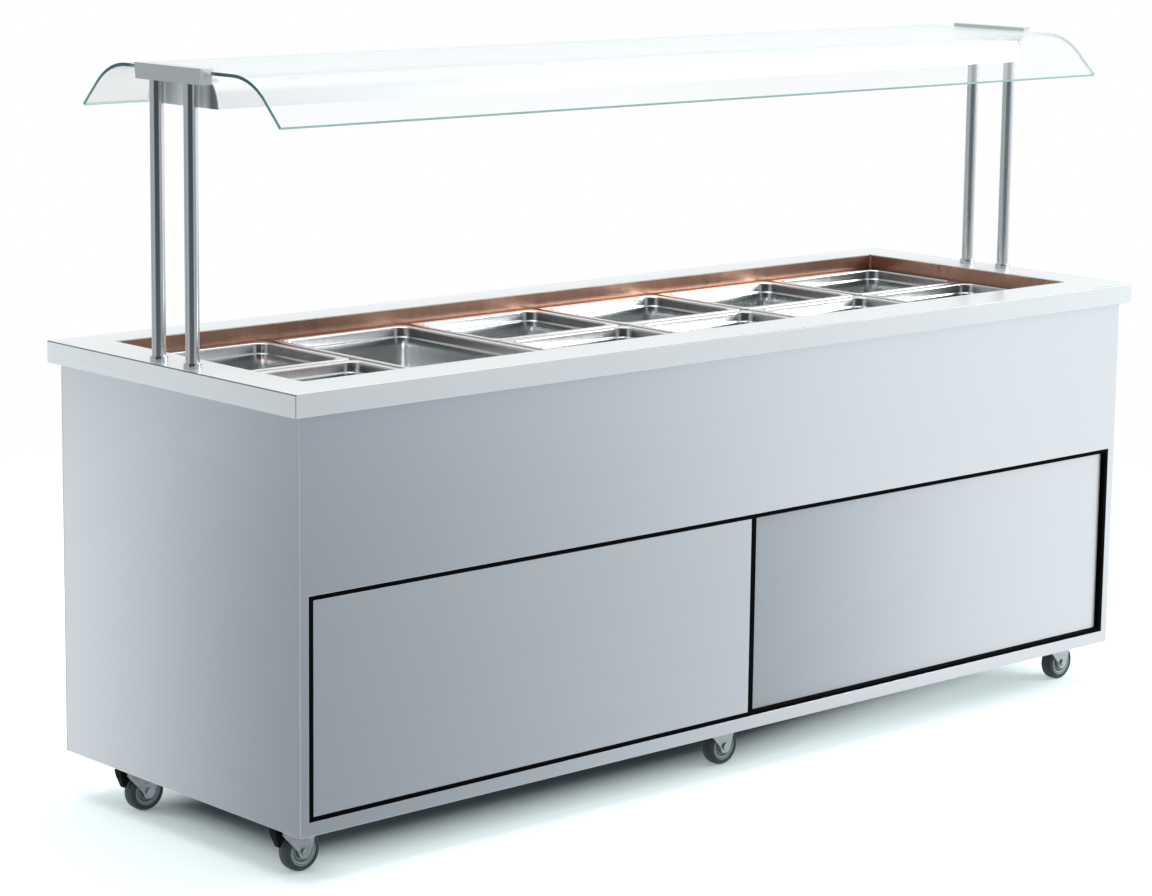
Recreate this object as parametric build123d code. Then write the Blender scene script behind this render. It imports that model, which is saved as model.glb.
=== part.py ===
from build123d import *
import math
import os

# A heated buffet counter on casters: a steel body with two sliding doors, a heated well
# full of lift-out pans in its top, and a curved glass canopy with lamps on four posts.
# Sizes are in millimetres. X runs along the counter, the doors face -Y and Z is up.
# The origin is on the floor, under the middle of the worktop.

# Worktop rim
counter_length = 2200.0
counter_depth = 740.0
worktop_height = 860.0
rim_sheet = 2.0
rim_skirt = 40.0
rim_bend = 1.5
rim_body_gap = 0.5

# The well, the posts and the canopy stand this far behind the middle of the worktop
service_offset = 10.0

# Body panels
body_end_inset = 20.0
body_side_inset = 15.0
skin_sheet = 1.5
panel_fold = 16.0
liner_sheet = 1.0
back_cavity = 22.0

# Gastronorm pans
pan_width = 325.0
pan_length = 530.0
half_pan_length = 265.0
pan_depth = 100.0
pan_sheet = 1.0
pan_lip = 5.0
pan_flange = 13.0
pan_taper = 7.0
pan_corner = 26.0
pan_flange_corner = 11.0
pan_floor_fillet = 9.0
pan_recess = 30.0
pan_gap = 11.0
half_pan_gap = 8.0
pan_end_gap = 13.5
pan_seat_gap = 0.3
full_pan_column = 2

# Well tank, its ledges and the bars across it
end_strip_least = 80.0
tank_sheet = 1.5
tank_height = 198.0
tank_ledge = 14.0
tank_flange = 12.0
tank_corner = 5.0
bar_width = 25.0
bar_height = 12.0
bar_sheet = 1.5
bar_fit = 0.3
bar_web_inset = 3.0

# Heater under the well
element_radius = 4.0
element_bend = 40.0
element_half_spacing = 100.0
element_end_gap = 50.0
heater_gap = 0.3
insulation_bottom = 45.0
insulation_side = 24.0

# Door opening and its black surround
sill_height = 25.0
door_opening_height = 395.0
door_opening_inset = 18.0
surround_side = 10.0
surround_bar = 8.0
surround_lip = 3.0
opening_fold = 15.0

# Sliding doors
door_thickness = 8.0
door_recess = 1.0
door_track_gap = 2.0
door_sheet = 1.2
door_play = 0.5
door_split = 3.0
door_edge = 13.0
door_overlap = 24.0
track_width = 4.0
track_depth = 4.5
glide_play = 0.3
glide_length = 40.0
glide_inset = 90.0

# Casters
wheel_diameter = 75.0
tyre_width = 27.0
tyre_shoulder = 6.0
hub_diameter = 54.0
hub_width = 25.0
hub_boss_width = 30.0
hub_boss_radius = 10.0
hub_recess_radius = 21.0
hub_recess_depth = 4.0
axle_radius = 4.0
running_gap = 0.05
axle_head_radius = 7.5
axle_head = 3.5
caster_height = 102.0
caster_plate = 3.0
caster_plate_length = 56.0
caster_plate_width = 76.0
caster_plate_corner = 5.0
caster_screw_radius = 5.0
caster_screw_head = 4.0
caster_screw_end_inset = 7.0
caster_screw_side_inset = 8.0
caster_race = 10.0
fork_body_gap = 1.0
caster_race_radius = 23.0
caster_trail = 20.0
swivel_gap = 0.3
kingpin_radius = 5.0
kingpin_head_radius = 8.0
kingpin_head = 3.0
fork_sheet = 2.5
fork_inside = 31.0
fork_front = 48.0
fork_back = 28.0
fork_foot = 13.0
fork_waist = 14.0
fork_taper = 2.0
caster_left_inset = 65.0
caster_right_inset = 93.0
caster_middle_shift = -10.0
caster_front_inset = 105.0
caster_rear_inset = 169.0
channel_sheet = 2.0

# Brake pedals on the two left casters
pedal_width = 26.0
pedal_pin_radius = 3.0
pedal_pin_back = 20.0
pedal_pin_drop = 9.0
pedal_reach = 38.0

# Posts and canopy
post_radius = 12.5
post_wall = 1.5
post_end_inset = 29.0
post_spacing = 100.0
post_base_radius = 16.0
post_base_height = 9.0
post_socket_depth = 7.0
post_fit = 0.1
stud_radius = 4.0
stud_length = 22.0
stud_hole_gap = 0.25
stud_nut = 13.0
stud_nut_height = 6.5
overall_height = 1380.0
bracket_height = 28.0
bracket_length = 196.0
bracket_slant = 4.0
bracket_width = 26.0
bracket_cap = 12.0
bracket_groove = 3.0
bracket_tongue = 40.0
bracket_tongue_width = 120.0
bracket_tongue_sheet = 6.0
spigot_length = 18.0
glass_thickness = 6.0
glass_top_drop = 6.0
glass_half_width = 291.0
glass_drop = 80.0
glass_bend_radius = 130.0
glass_bend_angle = 45.0
glass_fit = 0.4
glass_pad_radius = 12.0
glass_pad_spread = 60.0
glass_pad_rows = 4
glass_pad_inset = 151.0

# Lamp housing under the glass
housing_gap = 7.0
housing_half_base = 103.0
housing_half_top = 88.0
housing_height = 42.0
housing_bulge = 3.0
housing_wall = 2.0
housing_lip = 8.0
housing_cap = 3.0
diffuser_thickness = 4.0
lamp_radius = 6.0
lamp_length = 240.0
lamp_holder = 12.0
lamp_holder_height = 24.0
lamp_holder_depth = 24.0
lamp_holder_foot = 2.0

# Controls on the back of the body
control_inset = 380.0
control_drop = 115.0
control_length = 240.0
control_height = 100.0
control_sheet = 2.0
control_lap = 10.0
control_box_sheet = 1.2
control_box_clearance = 4.0
rocker_length = 26.0
rocker_width = 18.0
rocker_front = 9.0
rocker_back = 6.0
rocker_tilt = 6.0
rocker_play = 1.5
rocker_pin_radius = 1.5
rocker_axis_depth = 5.0
rocker_round = 1.0
switch_wall = 3.0
switch_depth = 20.0
heat_switch_shift = -80.0
lamp_switch_shift = -40.0
knob_shift = 60.0
knob_radius = 18.0
knob_height = 10.0
knob_gap = 0.3
knob_round = 1.5
knob_ridge_width = 4.0
knob_ridge_rise = 1.5
knob_ridge_inset = 2.0
knob_shaft_radius = 3.0
knob_shaft_length = 20.0
thermostat_size = 32.0
thermostat_depth = 20.0
pilot_radius = 4.0
pilot_front = 3.0
pilot_round = 2.0
pilot_rise = 28.0

# Cable gland
gland_inset = 100.0
gland_height = 150.0
gland_bore = 5.0
gland_thread = 8.0
gland_head = 11.0
gland_front = 12.0
gland_round = 2.0
gland_nut = 12.0
gland_nut_height = 5.0
gland_back = 11.0

# Drain from the well
drain_inset = 108.0
drain_y = 180.0
drain_radius = 10.65
drain_bore = 8.5
drain_fit = 0.3
drain_valve_radius = 16.0
drain_valve_height = 50.0
drain_valve_drop = 180.0
drain_stem_radius = 4.0
drain_boss_radius = 8.0
drain_boss = 12.0
drain_stem = 12.0
drain_outlet_drop = 7.0
lever_length = 90.0
lever_width = 14.0
lever_sheet = 3.0
lever_hub = 8.0
lever_stem_end = 2.0

# Places worked out from the sizes above
half_length = counter_length / 2
half_depth = counter_depth / 2
skin_top = worktop_height - rim_sheet
fork_top = caster_height - caster_plate - caster_race
body_bottom = fork_top + fork_body_gap
body_x = half_length - body_end_inset
body_y = half_depth - body_side_inset
inner_x = body_x - panel_fold
inner_y = body_y - skin_sheet

column_pitch = pan_width + pan_gap
columns = int((counter_length - 2 * end_strip_least) // column_pitch)
well_x = columns * column_pitch / 2
well_y = pan_length / 2 + pan_end_gap
pan_top = worktop_height - pan_recess
bar_top = pan_top - pan_lip - pan_seat_gap
ledge_z = bar_top - bar_sheet
tank_bottom = skin_top - tank_height
tank_back = service_offset + well_y + tank_sheet

element_z = tank_bottom - heater_gap - element_radius
insulation_top = element_z - element_radius - heater_gap
ceiling_top = insulation_top - insulation_bottom

opening_x = body_x - door_opening_inset
opening_low = body_bottom + sill_height
opening_high = opening_low + door_opening_height
surround_depth = door_recess + 2 * door_thickness + door_track_gap + surround_lip
surround_back = -body_y + surround_depth
floor_top = opening_low + surround_bar
track_x = opening_x - surround_side
liner_back = inner_y - back_cavity

wheel_radius = wheel_diameter / 2
caster_x = [
    -half_length + caster_left_inset,
    caster_middle_shift,
    half_length - caster_right_inset,
]
caster_y = [-half_depth + caster_front_inset, half_depth - caster_rear_inset]
caster_places = [(x, y) for y in caster_y for x in caster_x]

post_x = half_length - post_end_inset
post_ys = [service_offset - post_spacing / 2, service_offset + post_spacing / 2]
bracket_bottom = overall_height - bracket_height
glass_top = overall_height - glass_top_drop
glass_bottom = glass_top - glass_thickness
bracket_inner_x = post_x - bracket_width / 2
bracket_outer_x = post_x + bracket_width / 2
housing_top = bracket_bottom
housing_bottom = housing_top - housing_height
housing_x = bracket_inner_x - housing_gap

control_x = body_x - control_inset
control_z = worktop_height - control_drop
gland_x = body_x - gland_inset
drain_x = well_x - drain_inset
drain_place_y = service_offset + drain_y
valve_top = tank_bottom - drain_valve_drop
valve_bottom = valve_top - drain_valve_height
valve_middle = (valve_top + valve_bottom) / 2
stem_y = drain_place_y - drain_valve_radius - drain_boss


def block(x0, x1, y0, y1, z0, z1):
    """A box between two corners."""
    size = (x1 - x0, y1 - y0, z1 - z0)
    place = Pos((x0 + x1) / 2, (y0 + y1) / 2, (z0 + z1) / 2)
    return place * Box(size[0], size[1], size[2])


def rod(radius, start, end):
    """A round bar from one point to another, along X, Y or Z."""
    path = Vector(*end) - Vector(*start)
    plane = Plane(origin=start, z_dir=path)
    return extrude(plane * Circle(radius), amount=path.length)


def rounded_block(x, y, z0, z1, corner):
    """A box about a point, with its upright corners rounded."""
    plan = Pos(0, 0, z0) * RectangleRounded(x, y, corner)
    return extrude(plan, amount=z1 - z0)


def mirrored(solid):
    """The same piece on the other end of the counter."""
    return mirror(solid, about=Plane.YZ)


def well_block(grow, z0, z1):
    """A block over the well's plan, grown or shrunk all round."""
    x = 2 * (well_x + grow)
    y = 2 * (well_y + grow)
    corner = max(tank_corner + grow, tank_sheet)
    return Pos(0, service_offset, 0) * rounded_block(x, y, z0, z1, corner)


def top_frame():
    """The worktop rim: a sheet with the well cut out, a skirt and an inward return."""
    low = worktop_height - rim_skirt
    rim = block(-half_length, half_length, -half_depth, half_depth, low, worktop_height)
    upright = rim.edges().filter_by(Axis.Z)
    top = rim.edges().group_by(Axis.Z)[-1]
    rim = fillet(upright + top, rim_bend)
    in_x = half_length - rim_sheet
    in_y = half_depth - rim_sheet
    rim -= block(-in_x, in_x, -in_y, in_y, low + rim_sheet, skin_top)
    gap_x = body_x + rim_body_gap
    gap_y = body_y + rim_body_gap
    rim -= block(-gap_x, gap_x, -gap_y, gap_y, low, low + rim_sheet)
    rim -= well_block(0, skin_top, worktop_height)
    for x in (-post_x, post_x):
        for y in post_ys:
            rim -= rod(stud_radius + stud_hole_gap, (x, y, skin_top), (x, y, worktop_height))
    return rim


def drain_hole(z0, z1, gap):
    """The cut that the drain pipe passes through."""
    start = (drain_x, drain_place_y, z0)
    return rod(drain_radius + gap, start, (drain_x, drain_place_y, z1))


def well_tank():
    """The tank: an open box with a flange turned outwards and a drain hole in its floor."""
    tank = well_block(tank_sheet, tank_bottom, skin_top)
    tank += well_block(tank_sheet + tank_flange, skin_top - tank_sheet, skin_top)
    tank -= well_block(0, tank_bottom + tank_sheet, skin_top)
    tank -= drain_hole(tank_bottom, tank_bottom + tank_sheet, running_gap)
    return tank


def well_ledges():
    """Four strips welded inside the tank, which carry the ends of the bars."""
    low = ledge_z - tank_sheet
    end = well_x - tank_corner
    front = service_offset - well_y
    back = service_offset + well_y
    strips = [block(-end, end, front, front + tank_ledge, low, ledge_z)]
    strips.append(block(-end, end, back - tank_ledge, back, low, ledge_z))
    side_front = front + tank_ledge
    side_back = back - tank_ledge
    for edge in (-well_x, well_x - tank_ledge):
        strips.append(block(edge, edge + tank_ledge, side_front, side_back, low, ledge_z))
    return strips


def long_bar(x):
    """A folded bar across the well between two columns of pans."""
    half = bar_width / 2
    front = service_offset - well_y + bar_fit
    back = service_offset + well_y - bar_fit
    web_front = service_offset - well_y + tank_ledge + bar_fit
    web_back = service_offset + well_y - tank_ledge - bar_fit
    bar = block(x - half, x + half, front, back, ledge_z, bar_top)
    for side in (x - half, x + half - bar_sheet):
        bar += block(side, side + bar_sheet, web_front, web_back, bar_top - bar_height, bar_top)
    return bar


def end_bar(side):
    """A flat strip on the ledge at one end of the well."""
    front = service_offset - well_y + tank_corner
    back = service_offset + well_y - tank_corner
    ends = sorted((side * (well_x - bar_width / 2), side * (well_x - bar_fit)))
    return block(ends[0], ends[1], front, back, ledge_z, bar_top)


def cross_bar(column):
    """A short folded bar between the front and the back pan of one column."""
    x0 = -well_x + column * column_pitch + bar_width / 2
    x1 = x0 + column_pitch - bar_width
    half = bar_width / 2
    front = service_offset - half
    back = service_offset + half
    bar = block(x0, x1, front, back, ledge_z, bar_top)
    web_low = bar_top - bar_height
    for side in (front, back - bar_sheet):
        bar += block(x0 + bar_web_inset, x1 - bar_web_inset, side, side + bar_sheet, web_low, bar_top)
    return bar


def pan_bars():
    """The ledges and all the bars on them, which carry the pans."""
    bars = well_ledges() + [end_bar(-1), end_bar(1)]
    for column in range(1, columns):
        bars.append(long_bar(-well_x + column * column_pitch))
    for column in range(columns):
        if column + 1 != full_pan_column:
            bars.append(cross_bar(column))
    return bars


def pan_plan(length, inset, z, corner):
    """A rounded rectangle at one height of a pan."""
    plan = RectangleRounded(pan_width - 2 * inset, length - 2 * inset, corner)
    return Pos(0, 0, z) * plan


def pan_bowl(length, wall, z0, z1):
    """The tapered bowl of a pan, as a solid block."""
    top = pan_plan(length, pan_flange + wall, z1, pan_corner - wall)
    foot = pan_plan(length, pan_flange + pan_taper + wall, z0, pan_corner - pan_taper / 2 - wall)
    bowl = loft([foot, top])
    return fillet(bowl.edges().group_by(Axis.Z)[0], pan_floor_fillet - wall)


def pan(x, y, length):
    """One gastronorm pan with its flange and turned-down lip."""
    low = pan_top - pan_depth
    lip = extrude(pan_plan(length, 0, pan_top - pan_lip, pan_flange_corner), amount=pan_lip)
    inner = pan_flange_corner - pan_sheet
    lip -= extrude(pan_plan(length, pan_sheet, pan_top - pan_lip, inner), amount=pan_lip - pan_sheet)
    shape = lip + pan_bowl(length, 0, low, pan_top)
    shape -= pan_bowl(length, pan_sheet, low + pan_sheet, pan_top)
    return Pos(x, y, 0) * shape


def pans():
    """The pans by name: one long pan in one column and two half pans in the others."""
    made = {}
    shift = (half_pan_length + half_pan_gap) / 2
    for column in range(columns):
        x = -well_x + (column + 0.5) * column_pitch
        name = f"pan_{column + 1}"
        if column + 1 == full_pan_column:
            made[name] = pan(x, service_offset, pan_length)
        else:
            made[name + "_front"] = pan(x, service_offset - shift, half_pan_length)
            made[name + "_back"] = pan(x, service_offset + shift, half_pan_length)
    return made


def heating_elements():
    """Tubular heating elements clipped under the tank, one for two columns of pans."""
    made = []
    for pair in range(columns // 2):
        x0 = -well_x + 2 * pair * column_pitch + element_end_gap
        x1 = x0 + 2 * column_pitch - 2 * element_end_gap
        y0 = service_offset - element_half_spacing
        y1 = service_offset + element_half_spacing
        route = [(x0, y0, element_z), (x1, y0, element_z), (x1, y1, element_z), (x0, y1, element_z)]
        path = FilletPolyline(*route, radius=element_bend)
        section = Plane(origin=route[0], z_dir=(1, 0, 0)) * Circle(element_radius)
        made.append(sweep(section, path=path))
    return made


def insulation():
    """Mineral wool slabs under the heater and round the tank."""
    slab_x = well_x - tank_ledge
    slab_y = well_y - tank_ledge
    bottom = block(
        -slab_x, slab_x, service_offset - slab_y, service_offset + slab_y, ceiling_top, insulation_top
    )
    bottom -= drain_hole(ceiling_top, insulation_top, drain_fit)
    low = tank_bottom
    high = skin_top - tank_flange
    near = well_x + tank_sheet + heater_gap
    front = service_offset - well_y - tank_sheet - heater_gap
    back = tank_back + heater_gap
    slabs = [bottom]
    slabs.append(block(-slab_x, slab_x, front - insulation_side, front, low, high))
    slabs.append(block(near, near + insulation_side, front, back, low, high))
    slabs.append(block(-near - insulation_side, -near, front, back, low, high))
    back_end = control_x - control_length / 2
    slabs.append(block(-slab_x, back_end, back, back + insulation_side, low, high))
    return slabs


def end_panel():
    """The right end panel: an outer skin with its edges folded inwards."""
    panel = block(inner_x, body_x, -inner_y, inner_y, body_bottom, skin_top)
    panel -= block(
        inner_x,
        body_x - skin_sheet,
        -inner_y + skin_sheet,
        inner_y - skin_sheet,
        body_bottom + skin_sheet,
        skin_top - skin_sheet,
    )
    for y in post_ys:
        start = (post_x, y, skin_top - skin_sheet)
        panel -= rod(stud_radius + stud_hole_gap, start, (post_x, y, skin_top))
    return panel


def folded_sheet():
    """A full-length sheet on the back side, with its top and bottom edges folded inwards."""
    sheet = block(-body_x, body_x, inner_y, body_y, body_bottom, skin_top)
    fold = inner_y - panel_fold + skin_sheet
    for z in (body_bottom, skin_top - skin_sheet):
        sheet += block(-inner_x, inner_x, fold, inner_y, z, z + skin_sheet)
    return sheet


def front_frame():
    """The front sheet with the door opening, whose edges are folded inwards."""
    sheet = mirror(folded_sheet(), about=Plane.XZ)
    out_x = opening_x + skin_sheet
    fold_y = -inner_y + opening_fold
    sheet += block(
        -out_x, out_x, -body_y, fold_y, opening_low - skin_sheet, opening_high + skin_sheet
    )
    sheet -= block(-opening_x, opening_x, -body_y, fold_y, opening_low, opening_high)
    return sheet


def back_panel():
    """The back sheet with the cut-outs for the controls and the cable gland."""
    sheet = folded_sheet()
    half_x = control_length / 2 - control_lap
    half_z = control_height / 2 - control_lap
    sheet -= block(
        control_x - half_x, control_x + half_x, inner_y, body_y, control_z - half_z, control_z + half_z
    )
    hole = (gland_x, inner_y, gland_height)
    sheet -= rod(gland_thread + running_gap, hole, (gland_x, body_y, gland_height))
    return sheet


def door_middle(leaf):
    """The middle of a leaf's thickness, counted from the front leaf at 0."""
    step = door_thickness + door_track_gap
    return -body_y + door_recess + door_thickness / 2 + leaf * step


def door_surround():
    """The black frame round the doors, with two tracks in its top and bottom bars."""
    ring = block(-opening_x, opening_x, -body_y, surround_back, opening_low, opening_high)
    ring -= block(
        -track_x, track_x, -body_y, surround_back, floor_top, opening_high - surround_bar
    )
    half = track_width / 2
    for leaf in (0, 1):
        y = door_middle(leaf)
        ring -= block(-track_x, track_x, y - half, y + half, floor_top - track_depth, floor_top)
        high = opening_high - surround_bar
        ring -= block(-track_x, track_x, y - half, y + half, high, high + track_depth)
    return ring


def door_span(leaf):
    """The two ends of a leaf's steel tray."""
    if leaf == 0:
        return (-track_x + door_play, door_split - door_edge / 2)
    return (door_split - door_overlap, track_x - door_play)


def door_heights():
    """The bottom and the top of both leaves."""
    return (floor_top + door_play, opening_high - surround_bar - door_play)


def door_leaf(leaf):
    """A sliding door leaf: a steel tray, open at the back."""
    x0, x1 = door_span(leaf)
    z0, z1 = door_heights()
    y0 = door_middle(leaf) - door_thickness / 2
    tray = block(x0, x1, y0, y0 + door_thickness, z0, z1)
    tray -= block(
        x0 + door_sheet,
        x1 - door_sheet,
        y0 + door_sheet,
        y0 + door_thickness,
        z0 + door_sheet,
        z1 - door_sheet,
    )
    return tray


def door_trim(leaf):
    """The black edge profile of a leaf, with the glides that run in the tracks."""
    x0, x1 = door_span(leaf)
    z0, z1 = door_heights()
    y = door_middle(leaf)
    half = door_thickness / 2
    edge = x1 if leaf == 0 else x0 - door_edge
    pieces = [block(edge, edge + door_edge, y - half, y + half, z0, z1)]
    thin = track_width / 2 - glide_play
    for x in (x0 + glide_inset, x1 - glide_inset - glide_length):
        low = floor_top - track_depth + glide_play
        high = opening_high - surround_bar + track_depth - 2 * glide_play
        pieces.append(block(x, x + glide_length, y - thin, y + thin, low, z0))
        pieces.append(block(x, x + glide_length, y - thin, y + thin, z1, high))
    return pieces


def cabinet_floor():
    """The folded floor tray and the three channels under it that carry the casters."""
    back = liner_back + liner_sheet
    floor = block(-inner_x, inner_x, surround_back, back, caster_height, floor_top)
    floor -= block(
        -inner_x + skin_sheet,
        inner_x - skin_sheet,
        surround_back + skin_sheet,
        back - skin_sheet,
        caster_height,
        floor_top - skin_sheet,
    )
    floor -= drain_hole(caster_height, floor_top, drain_fit)
    pieces = [floor]
    half = caster_plate_length / 2
    front = surround_back + skin_sheet
    high = floor_top - skin_sheet
    for x in caster_x:
        channel = block(x - half, x + half, front, back - skin_sheet, caster_height, high)
        channel -= block(
            x - half + channel_sheet,
            x + half - channel_sheet,
            front,
            back - skin_sheet,
            caster_height + channel_sheet,
            high - channel_sheet,
        )
        pieces.append(channel)
    return pieces


def cabinet_liner():
    """The inner sheets of the cabinet: two ends, a back and a ceiling."""
    low = ceiling_top - liner_sheet
    side = inner_x - liner_sheet
    front = surround_back
    back = liner_back + liner_sheet
    left = block(-inner_x, -side, front, back, floor_top, low)
    right = block(side, inner_x, front, back, floor_top, low)
    rear = block(-side, side, liner_back, back, floor_top, low)
    ceiling = block(-inner_x, inner_x, front, inner_y, low, ceiling_top)
    ceiling -= drain_hole(low, ceiling_top, drain_fit)
    return [left, right, rear, ceiling]


def caster_plates():
    """A bolt-on plate with its ball race, kingpin and four screw heads for each caster."""
    pieces = []
    low = caster_height - caster_plate
    head_top = fork_top - fork_sheet - swivel_gap
    for x, y in caster_places:
        plate = rounded_block(
            caster_plate_length, caster_plate_width, low, caster_height, caster_plate_corner
        )
        plate = Pos(x, y, 0) * plate
        plate += rod(caster_race_radius, (x, y, fork_top + swivel_gap), (x, y, low))
        plate += rod(kingpin_radius, (x, y, head_top - kingpin_head), (x, y, low))
        plate += rod(kingpin_head_radius, (x, y, head_top - kingpin_head), (x, y, head_top))
        pieces.append(plate)
        for dx in (-1, 1):
            for dy in (-1, 1):
                sx = x + dx * (caster_plate_length / 2 - caster_screw_end_inset)
                sy = y + dy * (caster_plate_width / 2 - caster_screw_side_inset)
                pieces.append(rod(caster_screw_radius, (sx, sy, low - caster_screw_head), (sx, sy, low)))
    return pieces


def fork_leg():
    """One pressed leg of a fork, seen from the side, with its axle hole."""
    waist = fork_top - fork_waist
    outline = Polyline(
        (-fork_back, fork_top),
        (fork_front, fork_top),
        (fork_front - fork_taper, waist),
        (caster_trail + fork_foot, wheel_radius),
        (caster_trail - fork_foot, wheel_radius),
        (-fork_back, waist),
        close=True,
    )
    side = make_face(Plane.XZ * outline)
    leg = extrude(side, amount=fork_sheet, dir=(0, -1, 0))
    foot = (caster_trail, 0, wheel_radius)
    leg += rod(fork_foot, foot, (caster_trail, -fork_sheet, wheel_radius))
    leg -= rod(axle_radius + running_gap, foot, (caster_trail, -fork_sheet, wheel_radius))
    return leg


def fork(x, y, braked):
    """A swivel fork with its axle bolt and, where it has a brake, the pedal's pin."""
    inside = fork_inside / 2
    outside = inside + fork_sheet
    body = block(-fork_back, fork_front, -outside, outside, fork_top - fork_sheet, fork_top)
    body += Pos(0, -inside, 0) * fork_leg()
    body += Pos(0, outside, 0) * fork_leg()
    bends = body.edges().filter_by(Axis.X).group_by(Axis.Z)[-1]
    body = fillet(bends, fork_sheet - running_gap)
    body -= rod(kingpin_radius + running_gap, (0, 0, fork_top - fork_sheet), (0, 0, fork_top))
    if braked:
        pin_z = fork_top - pedal_pin_drop
        body += rod(pedal_pin_radius, (-pedal_pin_back, -outside, pin_z), (-pedal_pin_back, outside, pin_z))
    ends = outside + axle_head
    axle = rod(axle_radius, (caster_trail, -ends, wheel_radius), (caster_trail, ends, wheel_radius))
    for side in (-1, 1):
        start = (caster_trail, side * outside, wheel_radius)
        axle += rod(axle_head_radius, start, (caster_trail, side * ends, wheel_radius))
    return [Pos(x, y, 0) * body, Pos(x, y, 0) * axle]


def wheel(x, y):
    """A wheel: a ribbed hub with a soft tyre moulded round it."""
    place = Pos(x + caster_trail, y, wheel_radius) * Rot(90, 0, 0)
    tyre = Cylinder(wheel_radius, tyre_width)
    tyre = fillet(tyre.edges(), tyre_shoulder)
    tyre -= Cylinder(hub_diameter / 2, tyre_width)
    hub = Cylinder(hub_diameter / 2, hub_width)
    for side in (-1, 1):
        middle = side * (hub_width - hub_recess_depth) / 2
        hub -= Pos(0, 0, middle) * Cylinder(hub_recess_radius, hub_recess_depth)
    hub += Cylinder(hub_boss_radius, hub_boss_width)
    hub -= Cylinder(axle_radius + running_gap, hub_boss_width)
    return [place * tyre, place * hub]


def brake_pedal(x, y):
    """A brake pedal that hooks over the tyre from behind the fork's pin."""
    pin_z = fork_top - pedal_pin_drop
    high = pin_z + 5
    outline = Polyline(
        (-pedal_pin_back + 8, pin_z + 1),
        (-pedal_pin_back + 3, high),
        (-pedal_reach, high),
        (-pedal_reach + 2, pin_z - 8),
        (-pedal_pin_back - 8, pin_z - 29),
        (-pedal_pin_back - 4, pin_z - 30),
        (-pedal_pin_back + 1, pin_z - 20),
        (-pedal_pin_back + 7, pin_z - 10),
        close=True,
    )
    pedal = extrude(make_face(Plane.XZ * outline), amount=pedal_width / 2, both=True)
    half = pedal_width / 2
    hole = (-pedal_pin_back, -half, pin_z)
    pedal -= rod(pedal_pin_radius + running_gap, hole, (-pedal_pin_back, half, pin_z))
    return Pos(x, y, 0) * pedal


def post_bases():
    """A turned base for each post, held by a stud and a nut under the rim."""
    pieces = []
    for x in (-post_x, post_x):
        for y in post_ys:
            high = worktop_height + post_base_height
            base = rod(post_base_radius, (x, y, worktop_height), (x, y, high))
            socket = high - post_socket_depth
            base -= rod(post_radius + post_fit, (x, y, socket), (x, y, high))
            low = worktop_height - stud_length
            base += rod(stud_radius, (x, y, low), (x, y, worktop_height))
            pieces.append(base)
            nut_top = skin_top - skin_sheet
            hexagon = RegularPolygon(stud_nut / 2, 6, major_radius=False, rotation=30)
            nut = Pos(x, y, nut_top - stud_nut_height) * extrude(hexagon, amount=stud_nut_height)
            nut -= rod(stud_radius, (x, y, low), (x, y, skin_top))
            pieces.append(nut)
    return pieces


def posts():
    """The four tubular posts."""
    pieces = []
    low = worktop_height + post_base_height - post_socket_depth
    for x in (-post_x, post_x):
        for y in post_ys:
            tube = rod(post_radius, (x, y, low), (x, y, bracket_bottom))
            tube -= rod(post_radius - post_wall, (x, y, low), (x, y, bracket_bottom))
            pieces.append(tube)
    return pieces


def glass_slot():
    """The groove at the right end that holds the edge of the glass."""
    x0 = bracket_inner_x
    reach = service_offset + glass_half_width
    return block(
        x0, x0 + bracket_groove + glass_fit, -reach, reach, glass_bottom - glass_fit, glass_top + glass_fit
    )


def end_section(front_low, front_high, back_low, back_high, z0, z1):
    """A slab across the right bracket's width, with slanted front and back ends."""
    outline = Polyline(
        (front_low, z0), (back_low, z0), (back_high, z1), (front_high, z1), close=True
    )
    plane = Plane(origin=(bracket_inner_x, 0, 0), x_dir=(0, 1, 0), z_dir=(1, 0, 0))
    return extrude(plane * make_face(outline), amount=bracket_width)


def canopy_bracket():
    """The right end bracket: it plugs into both posts, grips the glass and holds the housing."""
    half = bracket_length / 2
    foot = half - bracket_slant
    mid = service_offset
    body = end_section(mid - foot, mid - half, mid + foot, mid + half, bracket_bottom, overall_height)
    body -= glass_slot()
    tongue = bracket_tongue_width / 2
    body += block(
        bracket_inner_x - bracket_tongue,
        bracket_inner_x,
        mid - tongue,
        mid + tongue,
        bracket_bottom,
        bracket_bottom + bracket_tongue_sheet,
    )
    for y in post_ys:
        start = (post_x, y, bracket_bottom - spigot_length)
        body += rod(post_radius - post_wall - post_fit, start, (post_x, y, bracket_bottom))
    return body


def glass_supports():
    """The clear end caps of both brackets and the clear pads between housing and glass."""
    half = bracket_length / 2
    foot = half - bracket_slant
    mid = service_offset
    pieces = []
    for side in (-1, 1):
        low = sorted((mid + side * foot, mid + side * (foot + bracket_cap)))
        high = sorted((mid + side * half, mid + side * (half + bracket_cap)))
        cap = end_section(low[0], high[0], low[1], high[1], bracket_bottom, overall_height)
        cap -= glass_slot()
        pieces.append(cap)
        pieces.append(mirrored(cap))
    reach = well_x - glass_pad_inset
    step = 2 * reach / (glass_pad_rows - 1)
    for row in range(glass_pad_rows):
        x = -reach + row * step
        for y in (mid - glass_pad_spread, mid + glass_pad_spread):
            pieces.append(rod(glass_pad_radius, (x, y, housing_top), (x, y, glass_bottom)))
    return pieces


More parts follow.
